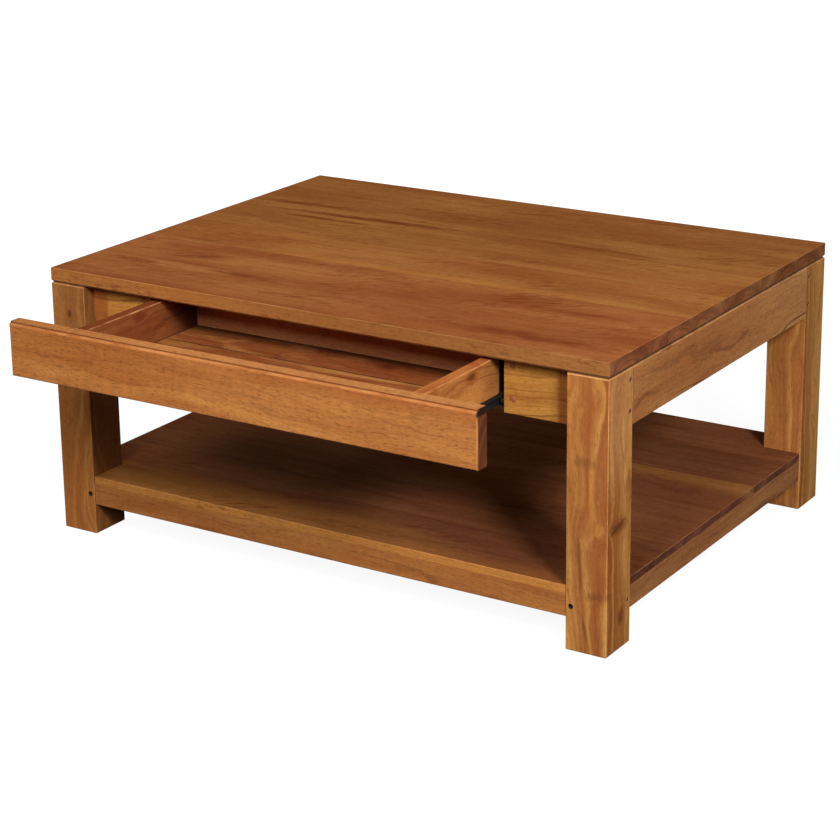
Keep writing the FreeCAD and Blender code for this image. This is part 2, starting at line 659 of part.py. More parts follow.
def make_drawer():
    """Moulded front with housed sides, rebated back and a boarded bottom in a groove."""
    parts = {}
    groove = block(
        (-GROOVE_X, GROOVE_X), (FRONT_BACK - GROOVE_DEPTH, BOX_END), (BOTTOM_LOW, BOTTOM_HIGH)
    )
    back_top = SIDE_TOP - BACK_DROP
    back = block((-GROOVE_X, GROOVE_X), (BACK_FACE, BOX_END), (BOTTOM_HIGH, back_top))
    back = eased(back, X_AXIS, back_top, BOX_ARRIS)
    rebate = block((-GROOVE_X, GROOVE_X), (BACK_FACE, BOX_END), (BOTTOM_HIGH, SIDE_TOP))
    front = Part.Face(front_section()).extrude(X_AXIS * (2 * FRONT_HALF))
    front = front.common(front_plan()).cut(groove)
    for name, sign in SIDES.items():
        side = side_board(sign)
        front = front.cut(side)
        side = side.cut(groove).cut(rebate)
        parts[f"drawer_side_{name}"] = side.cut(Part.makeCompound(rail_screws(sign, SCREW_GAP)))
    parts["drawer_front"] = front
    parts["drawer_back"] = back
    panel = block(
        (-GROOVE_X + BOTTOM_GAP, GROOVE_X - BOTTOM_GAP),
        (FRONT_BACK - GROOVE_DEPTH + BOTTOM_GAP, BOX_END),
        (BOTTOM_LOW, BOTTOM_HIGH),
    )
    boards = split_in_boards(panel, BOTTOM_BOARDS, FRONT_BACK - GROOVE_DEPTH + BOTTOM_GAP, BOX_END)
    for i, board in enumerate(boards):
        parts[f"drawer_bottom_board_{i + 1}"] = board
    return parts


# Lower shelf

def bearer_tenon(end, gap=0.0):
    """Stub tenon of the cross bearer in the front or back shelf rail."""
    xs = (-BEARER_WIDTH / 2, BEARER_WIDTH / 2)
    ys = (end * RAIL_INNER_Y, end * (RAIL_INNER_Y + BEARER_TENON))
    return block(xs, ys, tenon_height(RAIL_TOP - BEARER_HEIGHT, RAIL_TOP), gap)


def make_shelf_frame():
    """Rails between the legs, eased below, and the bearer that carries the boards in the middle."""
    parts = {}
    zs = (RAIL_FLOOR_GAP, RAIL_TOP)
    for name, end in ENDS.items():
        rail = block((-LEG_INNER_X, LEG_INNER_X), (end * RAIL_INNER_Y, end * RAIL_OUTER_Y), zs)
        rail = eased(rail, X_AXIS, RAIL_FLOOR_GAP, FRAME_ARRIS)
        for sign in SIDES.values():
            rail = rail.fuse(cross_tenon(sign, end * CROSS_RAIL_Y, RAIL_TENON, RAIL_TENON_Z))
        rail = rail.removeSplitter().cut(PEG_HOLES)
        parts[f"shelf_rail_{name}"] = rail.cut(bearer_tenon(end, GLUE_GAP))
    for name, sign in SIDES.items():
        xs = (sign * (RAIL_OUTER_X - RAIL_THICKNESS), sign * RAIL_OUTER_X)
        rail = eased(block(xs, (-LEG_INNER_Y, LEG_INNER_Y), zs), Y_AXIS, RAIL_FLOOR_GAP, FRAME_ARRIS)
        for end in ENDS.values():
            tenon = side_tenon(sign, end, RAIL_OUTER_X, RAIL_THICKNESS, RAIL_TENON, RAIL_TENON_Z)
            rail = rail.fuse(tenon)
        parts[f"shelf_rail_{name}"] = rail.removeSplitter().cut(PEG_HOLES)
    bearer = block(
        (-BEARER_WIDTH / 2, BEARER_WIDTH / 2),
        (-RAIL_INNER_Y, RAIL_INNER_Y),
        (RAIL_TOP - BEARER_HEIGHT, RAIL_TOP),
    )
    for end in ENDS.values():
        bearer = bearer.fuse(bearer_tenon(end))
    parts["shelf_bearer"] = bearer.removeSplitter()
    return parts


def make_shelf_boards():
    """Shelf boards laid on the rails, eased along the outer top edge and notched round the legs."""
    top = RAIL_TOP + SHELF_THICKNESS
    slab = block((-RAIL_OUTER_X, RAIL_OUTER_X), (-RAIL_OUTER_Y, RAIL_OUTER_Y), (RAIL_TOP, top))
    slab = slab.makeFillet(SHELF_ARRIS, edges_at_height(slab, top))
    for sign in SIDES.values():
        for end in ENDS.values():
            xs = (sign * LEG_INNER_X, sign * HALF_LENGTH)
            ys = (end * LEG_INNER_Y, end * HALF_DEPTH)
            slab = slab.cut(block(xs, ys, (RAIL_TOP, top), SHELF_NOTCH_GAP))
    boards = split_in_boards(slab, SHELF_BOARDS, -RAIL_OUTER_Y, RAIL_OUTER_Y)
    return {f"shelf_board_{i + 1}": board for i, board in enumerate(boards)}


def make_pegs():
    """Pegs of the apron joints and of the shelf rail joints, one group each."""
    return {
        "apron_pegs": Part.makeCompound(apron_pegs()),
        "shelf_pegs": Part.makeCompound(shelf_pegs()),
    }


def main():
    """Build every piece and write one STEP file each."""
    makers = (
        make_top,
        make_cleats,
        make_legs,
        make_aprons,
        make_front_blocks,
        make_slides,
        make_drawer,
        make_shelf_frame,
        make_shelf_boards,
        make_pegs,
    )
    os.makedirs("parts", exist_ok=True)
    for make in makers:
        for name, shape in make().items():
            shape.exportStep(f"parts/{name}.step")


main()
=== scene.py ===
import math

import bpy
import numpy as np
from mathutils import Matrix, Vector


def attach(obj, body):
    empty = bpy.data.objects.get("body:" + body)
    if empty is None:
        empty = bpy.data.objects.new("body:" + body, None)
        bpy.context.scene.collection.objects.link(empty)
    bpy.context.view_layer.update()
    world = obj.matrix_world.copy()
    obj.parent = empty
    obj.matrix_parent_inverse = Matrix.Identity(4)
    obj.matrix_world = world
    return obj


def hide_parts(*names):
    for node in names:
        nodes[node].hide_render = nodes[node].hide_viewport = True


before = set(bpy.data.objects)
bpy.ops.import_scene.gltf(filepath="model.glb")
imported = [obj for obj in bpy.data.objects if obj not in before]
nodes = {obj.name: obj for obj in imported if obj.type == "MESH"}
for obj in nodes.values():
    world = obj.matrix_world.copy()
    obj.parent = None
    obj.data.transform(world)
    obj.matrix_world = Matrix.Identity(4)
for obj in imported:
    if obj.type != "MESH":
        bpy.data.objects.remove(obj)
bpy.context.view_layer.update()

# Camera, fitted to the corners of the table in the photograph's 840 by 840 frame
FRAME_PIXELS = 840
CAMERA_PLACE = (1.8895, -3.0305, 1.3897)
CAMERA_AZIMUTH = math.radians(32.55)
CAMERA_ELEVATION = math.radians(16.51)
CAMERA_ROLL = math.radians(-0.71)
CAMERA_FOCAL_PIXELS = 2299.1
CAMERA_DROP_PIXELS = 100
CAMERA_SIGHT = 50

# Studio: place, width and watts of each soft box, and the floor's glow under the table and away from it
SOFT_BOXES = {
    "key_soft_box": ((0.45, -3.15, 2.5), 1.4, 101),
    "side_soft_box": ((2.4, -1.85, 1.95), 0.6, 97),
    "left_soft_box": ((-3.0, -0.4, 1.5), 0.8, 42),
    "back_soft_box": ((-1.6, 3.2, 0.5), 0.8, 55),
}
LIGHT_TARGET = (0.0, -0.1, 0.3)
AMBIENT = 0.14
WHITE = (1.0, 1.0, 1.0, 1.0)
FLOOR_COLOUR = (0.12, 0.12, 0.12, 1.0)
FLOOR_REACH = 20
FLOOR_GLOW = (0.93, 1.0)
GLOW_FADE = (0.7, 1.8)

# Wood colours, linear, and how strongly each feature of the figure shows where nothing else is said
HONEY = (0.42, 0.150, 0.038)
GOLD = (0.46, 0.185, 0.042)
# Pale colour for arrises and lightened places: a painted highlight and painted light, along with wear
WORN_SHEEN = (0.66, 0.34, 0.13)
# Black for the darkening tint: mostly painted shade in grooves, gaps, holes and corners, partly glue lines
# and dark end grain
SHADE_AND_SOOT = (0.016, 0.011, 0.008)
PALE_SHARES, DEEP_SHARES, LINE_SHARES = (1.28, 1.52, 1.60), (0.66, 0.48, 0.52), (0.30, 0.24, 0.36)
LEAST_SHARE = 0.05
EARLY_END_GRAIN, LATE_END_GRAIN = (0.95, 0.97, 1.34), (0.60, 0.61, 0.92)
FIGURE = dict(
    patches=0.6, blush=0.0, bands=0.25, streaks=0.5, lines=0.25, flecks=0.0, pores=0.3, ripple=0.05,
    fibre=0.10, wander=0.3,
)
KNOT_DARK, KNOT_RED = 0.8, 0.6
GRAIN_BUMP, GRAIN_DEPTH = 0.25, 0.0003
ARRIS_COAT, COAT_ROUGHNESS = 0.25, 0.35

# Places on the table, in metres, that the boards, pegs, screws and rollers share with the solids
SIDES = {"left": -1, "right": 1}
LEG_FACE_X, LEG_FACE_Y = 0.500, 0.375
BOARD_WIDTH = 0.125
PEG_X, PEG_Y = 0.4425, 0.3115
APRON_PEG_Z = (0.352, 0.399)
SHELF_PEG_Z = 0.068
SUNK_PEG_DEPTH = 0.006
DOWEL_PLACE = (0.333, -0.350)
DOWEL_Z = (0.353, 0.403)
CLEAT_SCREW_X, CLEAT_SCREW_Z = 0.466, 0.397
CLEAT_SCREW_Y = (-0.1875, -0.0625, 0.0625, 0.1875)
CHANNEL_WEB, RAIL_WEB = 0.3178, 0.3072
CHANNEL_SCREW_Y, RAIL_SCREW_Y = (-0.304, -0.094), (-0.506, -0.306)
FRONT_ROLLER_Y, REAR_ROLLER_Y = -0.339, -0.271
AXLE_Z = 0.3465
ROLLER_GAP = 0.0004

# Sizes of the turned pieces, in metres, and the number of sides that makes each kind round
APRON_PEG = dict(radius=0.004, length=0.028)
SHELF_PEG = dict(radius=0.0035, length=0.028)
SUNK_PEG = dict(radius=0.0035, length=0.022)
DOWEL = dict(radius=0.005, length=0.060)
PEG_ROUNDING = 0.0012
SLIDE_SCREW = dict(head=0.003, depth=0.0015, shank=0.00175, length=0.0135)
CLEAT_SCREW = dict(head=0.004, depth=0.004, shank=0.002, length=0.034)
SLOT_HALF_WIDTH, SLOT_REACH, SLOT_DEPTH = 0.0006, 0.0020, 0.0009
SLOT_EDGE, SLOT_END = 0.0002, 0.0003
HEAD_ROWS_END = 0.0010
ROLLER = dict(radius=0.007, bore=0.00205, width=0.007)
RIVET = dict(shank=0.002, grip=0.0078, head=0.0035, rise=0.0012)
PEG_SIDES, DOWEL_SIDES, RIVET_SIDES, SCREW_SIDES, ROLLER_SIDES = 24, 32, 24, 40, 40
SHARP_ANGLE = math.radians(35)

# Edges of faces and holes, in metres: a tint starts at the first place of a pair and is full at the second
TOP_FRONT_Y = (-0.3735, -0.3745)
UNDER_TOP_Z = (0.4148, 0.4162)
LEG_INNER_X = (0.4348, 0.4342)
LEG_OUTER_X = (0.4988, 0.4994)
PEG_HOLE_RIM = (0.0044, 0.0037)
PEG_HOLE_Y = (-0.365, -0.367)
DOWEL_RIM = (0.0036, 0.0048)
SHELF_EDGE_Y = (-0.3712, -0.3724)
DRAWER_SIDE_OUTER_X = (0.3050, 0.3058)
DRAWER_SIDE_TOP_Z = (0.4095, 0.4106)
DRAWER_FRONT_END_X = (0.4085, 0.4095)
DRAWER_FRONT_TOP_Z = (0.4138, 0.4144)

# Middles, in metres, of the moulding's quirk and of the drawer bottom, and how far its joints lie from there
QUIRK_Y = -0.5700
BOTTOM_MIDDLE_Y = -0.4089
BOTTOM_JOINT_AWAY = 0.0493


class Shade:
    """Adds nodes to one tree; a number, colour or socket can feed any input."""

    def __init__(self, tree):
        self.tree = tree

    def node(self, kind, **settings):
        made = self.tree.nodes.new(kind)
        for name, value in settings.items():
            setattr(made, name, value)
        return made

    def feed(self, socket, value):
        if isinstance(value, bpy.types.NodeSocket):
            self.tree.links.new(value, socket)
        elif hasattr(socket.default_value, "__len__") and len(socket.default_value) == 4:
            socket.default_value = (*value, 1.0)
        else:
            socket.default_value = value

    def math(self, operation, *values):
        made = self.node("ShaderNodeMath", operation=operation)
        for socket, value in zip(made.inputs, values):
            self.feed(socket, value)
        return made.outputs[0]

    def product(self, first, *others):
        for other in others:
            first = self.math("MULTIPLY", first, other)
        return first

    def most(self, first, *others):
        for other in others:
            first = self.math("MAXIMUM", first, other)
        return first

    def distance(self, *parts):
        """Square root of the sum of two squares."""
        return self.math("SQRT", self.math("ADD", *(self.math("MULTIPLY", part, part) for part in parts)))

    def oval(self, parts, centre, reach):
        """Distance from a centre, counted in reaches along each of two axes."""
        away = (self.math("SUBTRACT", part, middle) for part, middle in zip(parts, centre))
        return self.distance(*(self.math("DIVIDE", part, size) for part, size in zip(away, reach)))

    def vector(self, operation, *values):
        made = self.node("ShaderNodeVectorMath", operation=operation)
        for socket, value in zip(made.inputs, values):
            self.feed(socket, value)
        return made.outputs["Value" if operation in ("LENGTH", "DOT_PRODUCT") else "Vector"]

    def split(self, vector):
        made = self.node("ShaderNodeSeparateXYZ")
        self.feed(made.inputs[0], vector)
        return made.outputs

    def noise(self, vector, scale, detail=2.0, roughness=0.5):
        made = self.node("ShaderNodeTexNoise", noise_dimensions="3D")
        self.feed(made.inputs["Vector"], self.vector("MULTIPLY", vector, scale))
        self.feed(made.inputs["Scale"], 1.0)
        self.feed(made.inputs["Detail"], detail)
        self.feed(made.inputs["Roughness"], roughness)
        return made.outputs[0]

    def sway(self, vector, scale, reach):
        """Noise colour as a vector that swings each way by half the reach."""
        made = self.node("ShaderNodeTexNoise", noise_dimensions="3D")
        self.feed(made.inputs["Vector"], self.vector("MULTIPLY", vector, scale))
        self.feed(made.inputs["Scale"], 1.0)
        middle = self.vector("SUBTRACT", made.outputs["Color"], (0.5, 0.5, 0.5))
        return self.vector("MULTIPLY", middle, reach)

    def noise_along(self, value, scale, detail=2.0):
        made = self.node("ShaderNodeTexNoise", noise_dimensions="1D")
        self.feed(made.inputs["W"], value)
        self.feed(made.inputs["Scale"], scale)
        self.feed(made.inputs["Detail"], detail)
        return made.outputs[0]

    def step(self, value, low, high, out_low=0.0, out_high=1.0):
        made = self.node("ShaderNodeMapRange", interpolation_type="SMOOTHSTEP")
        for name, entry in zip(
            ("Value", "From Min", "From Max", "To Min", "To Max"), (value, low, high, out_low, out_high)
        ):
            self.feed(made.inputs[name], entry)
        return made.outputs[0]

    def mix(self, share, first, second, blend="MIX"):
        made = self.node("ShaderNodeMix", data_type="RGBA", blend_type=blend)
        self.feed(made.inputs["Factor"], share)
        self.feed(made.inputs["A"], first)
        self.feed(made.inputs["B"], second)
        return made.outputs["Result"]

    def grey(self, value):
        return self.vector("MULTIPLY", (1.0, 1.0, 1.0), value)


def new_group(name, inputs, outputs):
    """Empty shader node group with named sockets, and a Shade that fills it."""
    group = bpy.data.node_groups.new(name, "ShaderNodeTree")
    for direction, sockets in (("INPUT", inputs), ("OUTPUT", outputs)):
        for socket, kind in sockets.items():
            group.interface.new_socket(socket, in_out=direction, socket_type="NodeSocket" + kind)
    shade = Shade(group)
    return group, shade, shade.node("NodeGroupInput").outputs, shade.node("NodeGroupOutput").inputs


def timber_group():
    """Solid timber: growth rings round a pith line that runs along X, seen wherever a face cuts them.

    The distance from the pith, bent by slow, wandering and quick noise, drives two one-way noises: broad
    bands and fine lines. Noise drawn out along the grain gives stain patches, red streaks, fibres and
    pores, noise drawn out across it a ripple, and slanted strokes inside scattered patches the flecks.
    End grain is where the face looks along X, and an arris where it looks along no axis; the arris is painted
    paler, a painted highlight along with wear. Gild and Redden tint the wood, a third tint lightens it,
    partly as painted light, Mark darkens it, and a fourth tint blackens it, mostly as painted shade in
    grooves, gaps, holes and corners, partly as glue lines and dark end grain.
    """
    group, s, given, out = new_group(
        "timber",
        {
            "Place": "Vector", "Facing": "Vector", "Pith": "Vector",
            "Pale": "Color", "Body": "Color", "Deep": "Color", "Line": "Color", "Rubbed": "Color",
            "Patches": "Float", "Blush": "Float", "Bands": "Float", "Streaks": "Float", "Lines": "Float",
            "Flecks": "Float", "Pores": "Float", "Ripple": "Float", "Fibre": "Float", "Wander": "Float",
            "Gild": "Float", "Redden": "Float", "Rub": "Float", "Mark": "Float", "Dirt": "Float",
        },
        {"Color": "Color", "Roughness": "Float", "Coat": "Float", "Height": "Float"},
    )
    slow = s.sway(given["Place"], (1.2, 5.0, 5.0), (0.0, 0.05, 0.05))
    wander = s.vector("MULTIPLY", s.sway(given["Place"], (4.5, 11.0, 11.0), (0.0, 0.08, 0.08)),
                      s.grey(given["Wander"]))
    quick = s.sway(given["Place"], (16.0, 60.0, 60.0), (0.0, 0.005, 0.005))
    place = s.vector("ADD", s.vector("ADD", given["Place"], slow), s.vector("ADD", wander, quick))
    across = s.vector("MULTIPLY", s.vector("SUBTRACT", place, given["Pith"]), (0.0, 1.0, 1.0))
    ring = s.vector("LENGTH", across)
    bands = s.step(s.noise_along(ring, 60.0), 0.34, 0.68)
    lines = s.step(s.noise_along(ring, 280.0, 3.0), 0.50, 0.70)
    patches = s.step(s.noise(place, (3.0, 15.0, 15.0), 3.0), 0.33, 0.67)
    blush = s.step(s.noise(place, (2.2, 9.0, 9.0), 3.0), 0.40, 0.66)
    streaks = s.step(s.noise(place, (3.4, 62.0, 62.0), 3.0), 0.44, 0.74)
    fibre = s.noise(place, (13.0, 420.0, 420.0), 3.0, 0.6)
    pores = s.step(s.noise(place, (105.0, 700.0, 700.0), 2.0), 0.50, 0.68)
    ripple = s.noise(place, (150.0, 42.0, 42.0), 2.0)
    fade = s.step(s.noise(place, (5.0, 40.0, 40.0), 2.0), 0.35, 0.65)
    slanted = s.node("ShaderNodeVectorRotate", rotation_type="Z_AXIS")
    s.feed(slanted.inputs["Vector"], given["Place"])
    s.feed(slanted.inputs["Angle"], -0.40)
    strokes = s.step(s.noise(slanted.outputs[0], (30.0, 170.0, 170.0), 3.0), 0.48, 0.66)
    flecked = s.step(s.noise(place, (6.5, 24.0, 24.0), 3.0), 0.50, 0.64)

    colour = s.mix(s.product(patches, given["Patches"]), given["Body"], given["Pale"])
    for mask, strength in ((blush, "Blush"), (bands, "Bands"), (streaks, "Streaks")):
        colour = s.mix(s.product(mask, given[strength]), colour, given["Deep"])
    colour = s.mix(given["Gild"], colour, GOLD)
    colour = s.mix(given["Redden"], colour, given["Deep"])
    colour = s.mix(given["Rub"], colour, given["Rubbed"])
    for mask, strength in (
        (s.product(lines, fade), "Lines"), (s.product(strokes, flecked), "Flecks"), (pores, "Pores"),
    ):
        colour = s.mix(s.product(mask, given[strength]), colour, given["Line"])
    shade = s.math("ADD", s.product(s.step(fibre, 0.25, 0.75, -1.0, 1.0), given["Fibre"]), 1.0)
    swell = s.product(s.math("SUBTRACT", ripple, 0.5), given["Ripple"], 4.0)
    shade = s.product(shade, s.math("ADD", swell, 1.0))
    colour = s.mix(1.0, colour, s.grey(shade), "MULTIPLY")

    looks = s.split(s.vector("ABSOLUTE", given["Facing"]))
    end = s.step(looks[0], 0.80, 0.97)
    most = s.most(*looks)
    # The arris is painted paler: a painted highlight along with wear
    glint_and_wear = s.step(s.noise(given["Place"], (35.0, 35.0, 35.0), 3.0), 0.30, 0.75, 0.05, 0.60)
    arris = s.product(s.step(most, 0.985, 0.85), glint_and_wear)
    ringed = s.mix(bands, EARLY_END_GRAIN, LATE_END_GRAIN)
    colour = s.mix(end, colour, s.mix(1.0, colour, ringed, "MULTIPLY"))
    colour = s.mix(arris, colour, given["Rubbed"])
    colour = s.mix(given["Mark"], colour, given["Line"])
    colour = s.mix(given["Dirt"], colour, SHADE_AND_SOOT)
    s.feed(out["Color"], colour)
    s.feed(out["Roughness"], s.step(s.math("ADD", fibre, pores), 0.2, 1.4, 0.45, 0.66))
    s.feed(out["Coat"], s.product(arris, ARRIS_COAT))
    s.feed(out["Height"], s.math("SUBTRACT", s.product(fibre, 0.5), pores))
    return group


def mark_group():
    """Ragged dark mark: an ellipsoid about a centre, its edge broken by noise drawn out along X.

    Slant turns it about the axis that the face looks along. Feather breaks it further into short strokes
    that slant across the grain.
    """
    group, s, given, out = new_group(
        "mark",
        {"Place": "Vector", "Centre": "Vector", "Reach": "Vector", "Axis": "Vector",
         "Slant": "Float", "Feather": "Float"},
        {"Mark": "Float"},
    )

    def turned_by(angle):
        made = s.node("ShaderNodeVectorRotate", rotation_type="AXIS_ANGLE")
        for socket, value in zip(made.inputs, (given["Place"], given["Centre"], given["Axis"], angle)):
            s.feed(socket, value)
        return made.outputs[0]

    slanted = turned_by(given["Slant"])
    away = s.vector("DIVIDE", s.vector("SUBTRACT", slanted, given["Centre"]), given["Reach"])
    ragged = s.noise(slanted, (26.0, 170.0, 170.0), 3.0)
    far = s.math("ADD", s.vector("LENGTH", away), s.product(s.math("SUBTRACT", ragged, 0.5), 1.6))
    solid = s.step(far, 1.0, 0.2)
    strokes = s.step(s.noise(turned_by(-0.45), (24.0, 190.0, 190.0), 2.0), 0.42, 0.62)
    kept = s.math("ADD", s.product(s.math("SUBTRACT", strokes, 1.0), given["Feather"]), 1.0)
    s.feed(out["Mark"], s.product(solid, kept))
    return group


def knot_group():
    """Knot: grain lines pushed aside round a centre, a dark heart and a reddish ring round it.

    Nearness falls off as a bell curve of the distance counted in reaches; the places near it are drawn
    towards the centre, so that the lines drawn from them bulge round the knot.
    """
    group, s, given, out = new_group(
        "knot",
        {"Place": "Vector", "Centre": "Vector", "Reach": "Vector"},
        {"Place": "Vector", "Heart": "Float", "Ring": "Float"},
    )
    away = s.vector("SUBTRACT", given["Place"], given["Centre"])
    ragged = s.product(s.math("SUBTRACT", s.noise(given["Place"], (90.0, 160.0, 160.0)), 0.5), 0.9)
    far = s.math("ADD", s.vector("LENGTH", s.vector("DIVIDE", away, given["Reach"])), ragged)
    near = s.math("POWER", math.e, s.product(far, far, -0.5))
    pull = s.vector("MULTIPLY", away, s.grey(s.product(near, -0.85)))
    s.feed(out["Place"], s.vector("ADD", given["Place"], s.vector("MULTIPLY", pull, (0.0, 1.0, 1.0))))
    s.feed(out["Heart"], s.step(far, 1.0, 0.45))
    s.feed(out["Ring"], s.step(far, 2.0, 0.9))
    return group


TIMBER = timber_group()
MARK = mark_group()
KNOT = knot_group()
TURN = {"x": (0.0, 0.0, 0.0), "y": (0.0, 0.0, -math.pi / 2), "z": (0.0, math.pi / 2, 0.0)}
SEED_STEP = 1.7


def new_material(name):
    """Empty node material, its Shade and its Principled BSDF."""
    material = bpy.data.materials.new(name)
    material.use_nodes = True
    shade = Shade(material.node_tree)
    return material, shade, material.node_tree.nodes["Principled BSDF"]


def turn_to_grain(vector, along):
    """A direction of the table as the timber sees it, turned so that the grain is X."""
    _, about_y, about_z = TURN[along]
    return Matrix.Rotation(about_z, 3, "Z") @ Matrix.Rotation(about_y, 3, "Y") @ Vector(vector)


def timber(name, along, seed, finish, pith=(0.0, 0.0, 0.2), marks=(), knots=(), **tints):
    """Oiled wood with its grain along one axis; the seed picks which part of the tree it was cut from.

    Pith is a point on the tree's middle line. Marks are (centre, half sizes, axis it faces, slant,
    feather, strength) and knots are (centre, half sizes), all in the table's own metres. Tints that gild,
    redden, lighten and blacken the wood are functions of the Shade and the place on the table; some of
    them are painted light and painted shade.
    """
    material, s, surface = new_material(name)
    coordinates = s.node("ShaderNodeTexCoord")
    moved = Vector((SEED_STEP * seed, 0.0, 0.0))
    turned = s.node("ShaderNodeMapping", vector_type="POINT")
    s.feed(turned.inputs["Vector"], coordinates.outputs["Object"])
    s.feed(turned.inputs["Rotation"], TURN[along])
    s.feed(turned.inputs["Location"], moved)
    facing = s.node("ShaderNodeMapping", vector_type="VECTOR")
    s.feed(facing.inputs["Vector"], coordinates.outputs["Normal"])
    s.feed(facing.inputs["Rotation"], TURN[along])
    place, dark, red = turned.outputs[0], 0.0, 0.0
    for centre, reach in knots:
        knot = s.node("ShaderNodeGroup", node_tree=KNOT)
        s.feed(knot.inputs["Place"], place)
        s.feed(knot.inputs["Centre"], turn_to_grain(centre, along) + moved)
        s.feed(knot.inputs["Reach"], [abs(part) for part in turn_to_grain(reach, along)])
        place = knot.outputs["Place"]
        dark = s.most(dark, s.product(knot.outputs["Heart"], KNOT_DARK))
        red = s.most(red, s.product(knot.outputs["Ring"], KNOT_RED))
    for centre, reach, axis, slant, feather, strength in marks:
        mark = s.node("ShaderNodeGroup", node_tree=MARK)
        s.feed(mark.inputs["Place"], turned.outputs[0])
        s.feed(mark.inputs["Centre"], turn_to_grain(centre, along) + moved)
        s.feed(mark.inputs["Reach"], [abs(part) for part in turn_to_grain(reach, along)])
        s.feed(mark.inputs["Axis"], turn_to_grain([part == axis for part in "xyz"], along))
        s.feed(mark.inputs["Slant"], slant)
        s.feed(mark.inputs["Feather"], feather)
        dark = s.most(dark, s.product(mark.outputs[0], strength))
    shares = {key: tint(s, coordinates.outputs["Object"]) for key, tint in tints.items()}
    if "redden" in shares:
        red = s.most(red, shares.pop("redden"))
    wood = s.node("ShaderNodeGroup", node_tree=TIMBER)
    s.feed(wood.inputs["Place"], place)
    s.feed(wood.inputs["Facing"], facing.outputs[0])
    s.feed(wood.inputs["Pith"], turn_to_grain(pith, along))
    for key, value in {"rubbed": WORN_SHEEN, "redden": red, "mark": dark, **finish, **shares}.items():
        s.feed(wood.inputs[key.capitalize()], value)
    bump = s.node("ShaderNodeBump")
    s.feed(bump.inputs["Strength"], GRAIN_BUMP)
    s.feed(bump.inputs["Distance"], GRAIN_DEPTH)
    s.feed(bump.inputs["Height"], wood.outputs["Height"])
    s.feed(surface.inputs["Base Color"], wood.outputs["Color"])
    s.feed(surface.inputs["Roughness"], wood.outputs["Roughness"])
    s.feed(surface.inputs["Coat Weight"], wood.outputs["Coat"])
    s.feed(surface.inputs["Normal"], bump.outputs[0])
    surface.inputs["Specular IOR Level"].default_value = 0.0
    surface.inputs["Coat Roughness"].default_value = COAT_ROUGHNESS
    return material


def mottled(name, dark, light, scale, rough, metallic, specular=0.5):
    """Plain material whose colour and roughness drift between two values with a fine noise."""
    material, s, surface = new_material(name)
    mottle = s.noise(s.node("ShaderNodeTexCoord").outputs["Object"], (scale, scale, scale), 3.0)
    s.feed(surface.inputs["Base Color"], s.mix(s.step(mottle, 0.3, 0.7), dark, light))
    s.feed(surface.inputs["Roughness"], s.step(mottle, 0.3, 0.7, *rough))
    surface.inputs["Metallic"].default_value = metallic
    surface.inputs["Specular IOR Level"].default_value = specular
    return material


def dress(node, material):
    """Give a CAD node one material."""
    data = nodes[node].data
    data.materials.clear()
    data.materials.append(material)


def dress_timber(node, *cut, **features):
    """Give a CAD node wood of its own."""
    dress(node, timber(f"{node}_wood", *cut, **features))


def stain(body, light=1.0, depth=1.0, line=LINE_SHARES, **strengths):
    """Colours of one piece of wood, worked out from its body colour, and the strengths of its figure.

    Depth sets how far the pale and deep colours lie from the body colour.
    """
    def scaled(shares, by=1.0):
        kept = [max(LEAST_SHARE, 1.0 + by * (share - 1.0)) for share in shares]
        return tuple(light * part * share for part, share in zip(body, kept))

    colours = dict(body=scaled((1, 1, 1)), pale=scaled(PALE_SHARES, depth),
                   deep=scaled(DEEP_SHARES, depth), line=scaled(line))
    return {**FIGURE, **colours, **strengths}


# The top boards are darker than the frame, partly their own stain, partly painted shade for the lesser light
# on the top
TOP_STAINS = {1: (0.272, 0.088, 0.0255), 2: (0.286, 0.093, 0.0265), 3: (0.288, 0.102, 0.0262),
              4: (0.274, 0.098, 0.0248), 5: (0.262, 0.092, 0.0235), 6: (0.284, 0.102, 0.0262)}
TOP_FIGURE = dict(line=(0.50, 0.30, 0.32), flecks=0.5, bands=0.12, lines=0.22, pores=0.32, patches=0.9,
                  streaks=0.24, fibre=0.10, rubbed=(0.46, 0.24, 0.09))
TOP_BLUSH = {1: 0.6, 2: 0.5, 3: 0.35, 4: 0.35, 5: 0.35, 6: 0.35}
TOP_MARKS = {
    1: [((-0.41, -0.268, 0.44), (0.07, 0.016, 0.03), "z", 0.0, 0.6, 0.85),
        ((-0.205, -0.263, 0.44), (0.08, 0.016, 0.03), "z", 0.0, 0.3, 0.75),
        ((-0.08, -0.320, 0.44), (0.10, 0.012, 0.03), "z", 0.0, 0.4, 0.50),
        ((0.345, -0.322, 0.44), (0.16, 0.026, 0.03), "z", 0.02, 0.2, 0.80)],
    2: [((0.255, -0.155, 0.44), (0.085, 0.036, 0.03), "z", -0.25, 0.7, 1.0),
        ((0.37, -0.185, 0.44), (0.10, 0.014, 0.03), "z", -0.10, 0.5, 0.60),
        ((-0.33, -0.20, 0.44), (0.075, 0.024, 0.03), "z", -0.25, 0.4, 0.85)],
    4: [((-0.30, 0.103, 0.44), (0.14, 0.010, 0.03), "z", 0.0, 0.0, 0.80),
        ((-0.21, 0.092, 0.44), (0.002, 0.016, 0.03), "z", 0.1, 0.0, 0.60)],
    5: [((-0.24, 0.136, 0.44), (0.26, 0.015, 0.03), "z", -0.05, 0.0, 0.85),
        ((-0.38, 0.176, 0.44), (0.17, 0.014, 0.03), "z", -0.05, 0.2, 0.75),
        ((0.20, 0.150, 0.44), (0.22, 0.012, 0.03), "z", 0.0, 0.3, 0.50)],
}
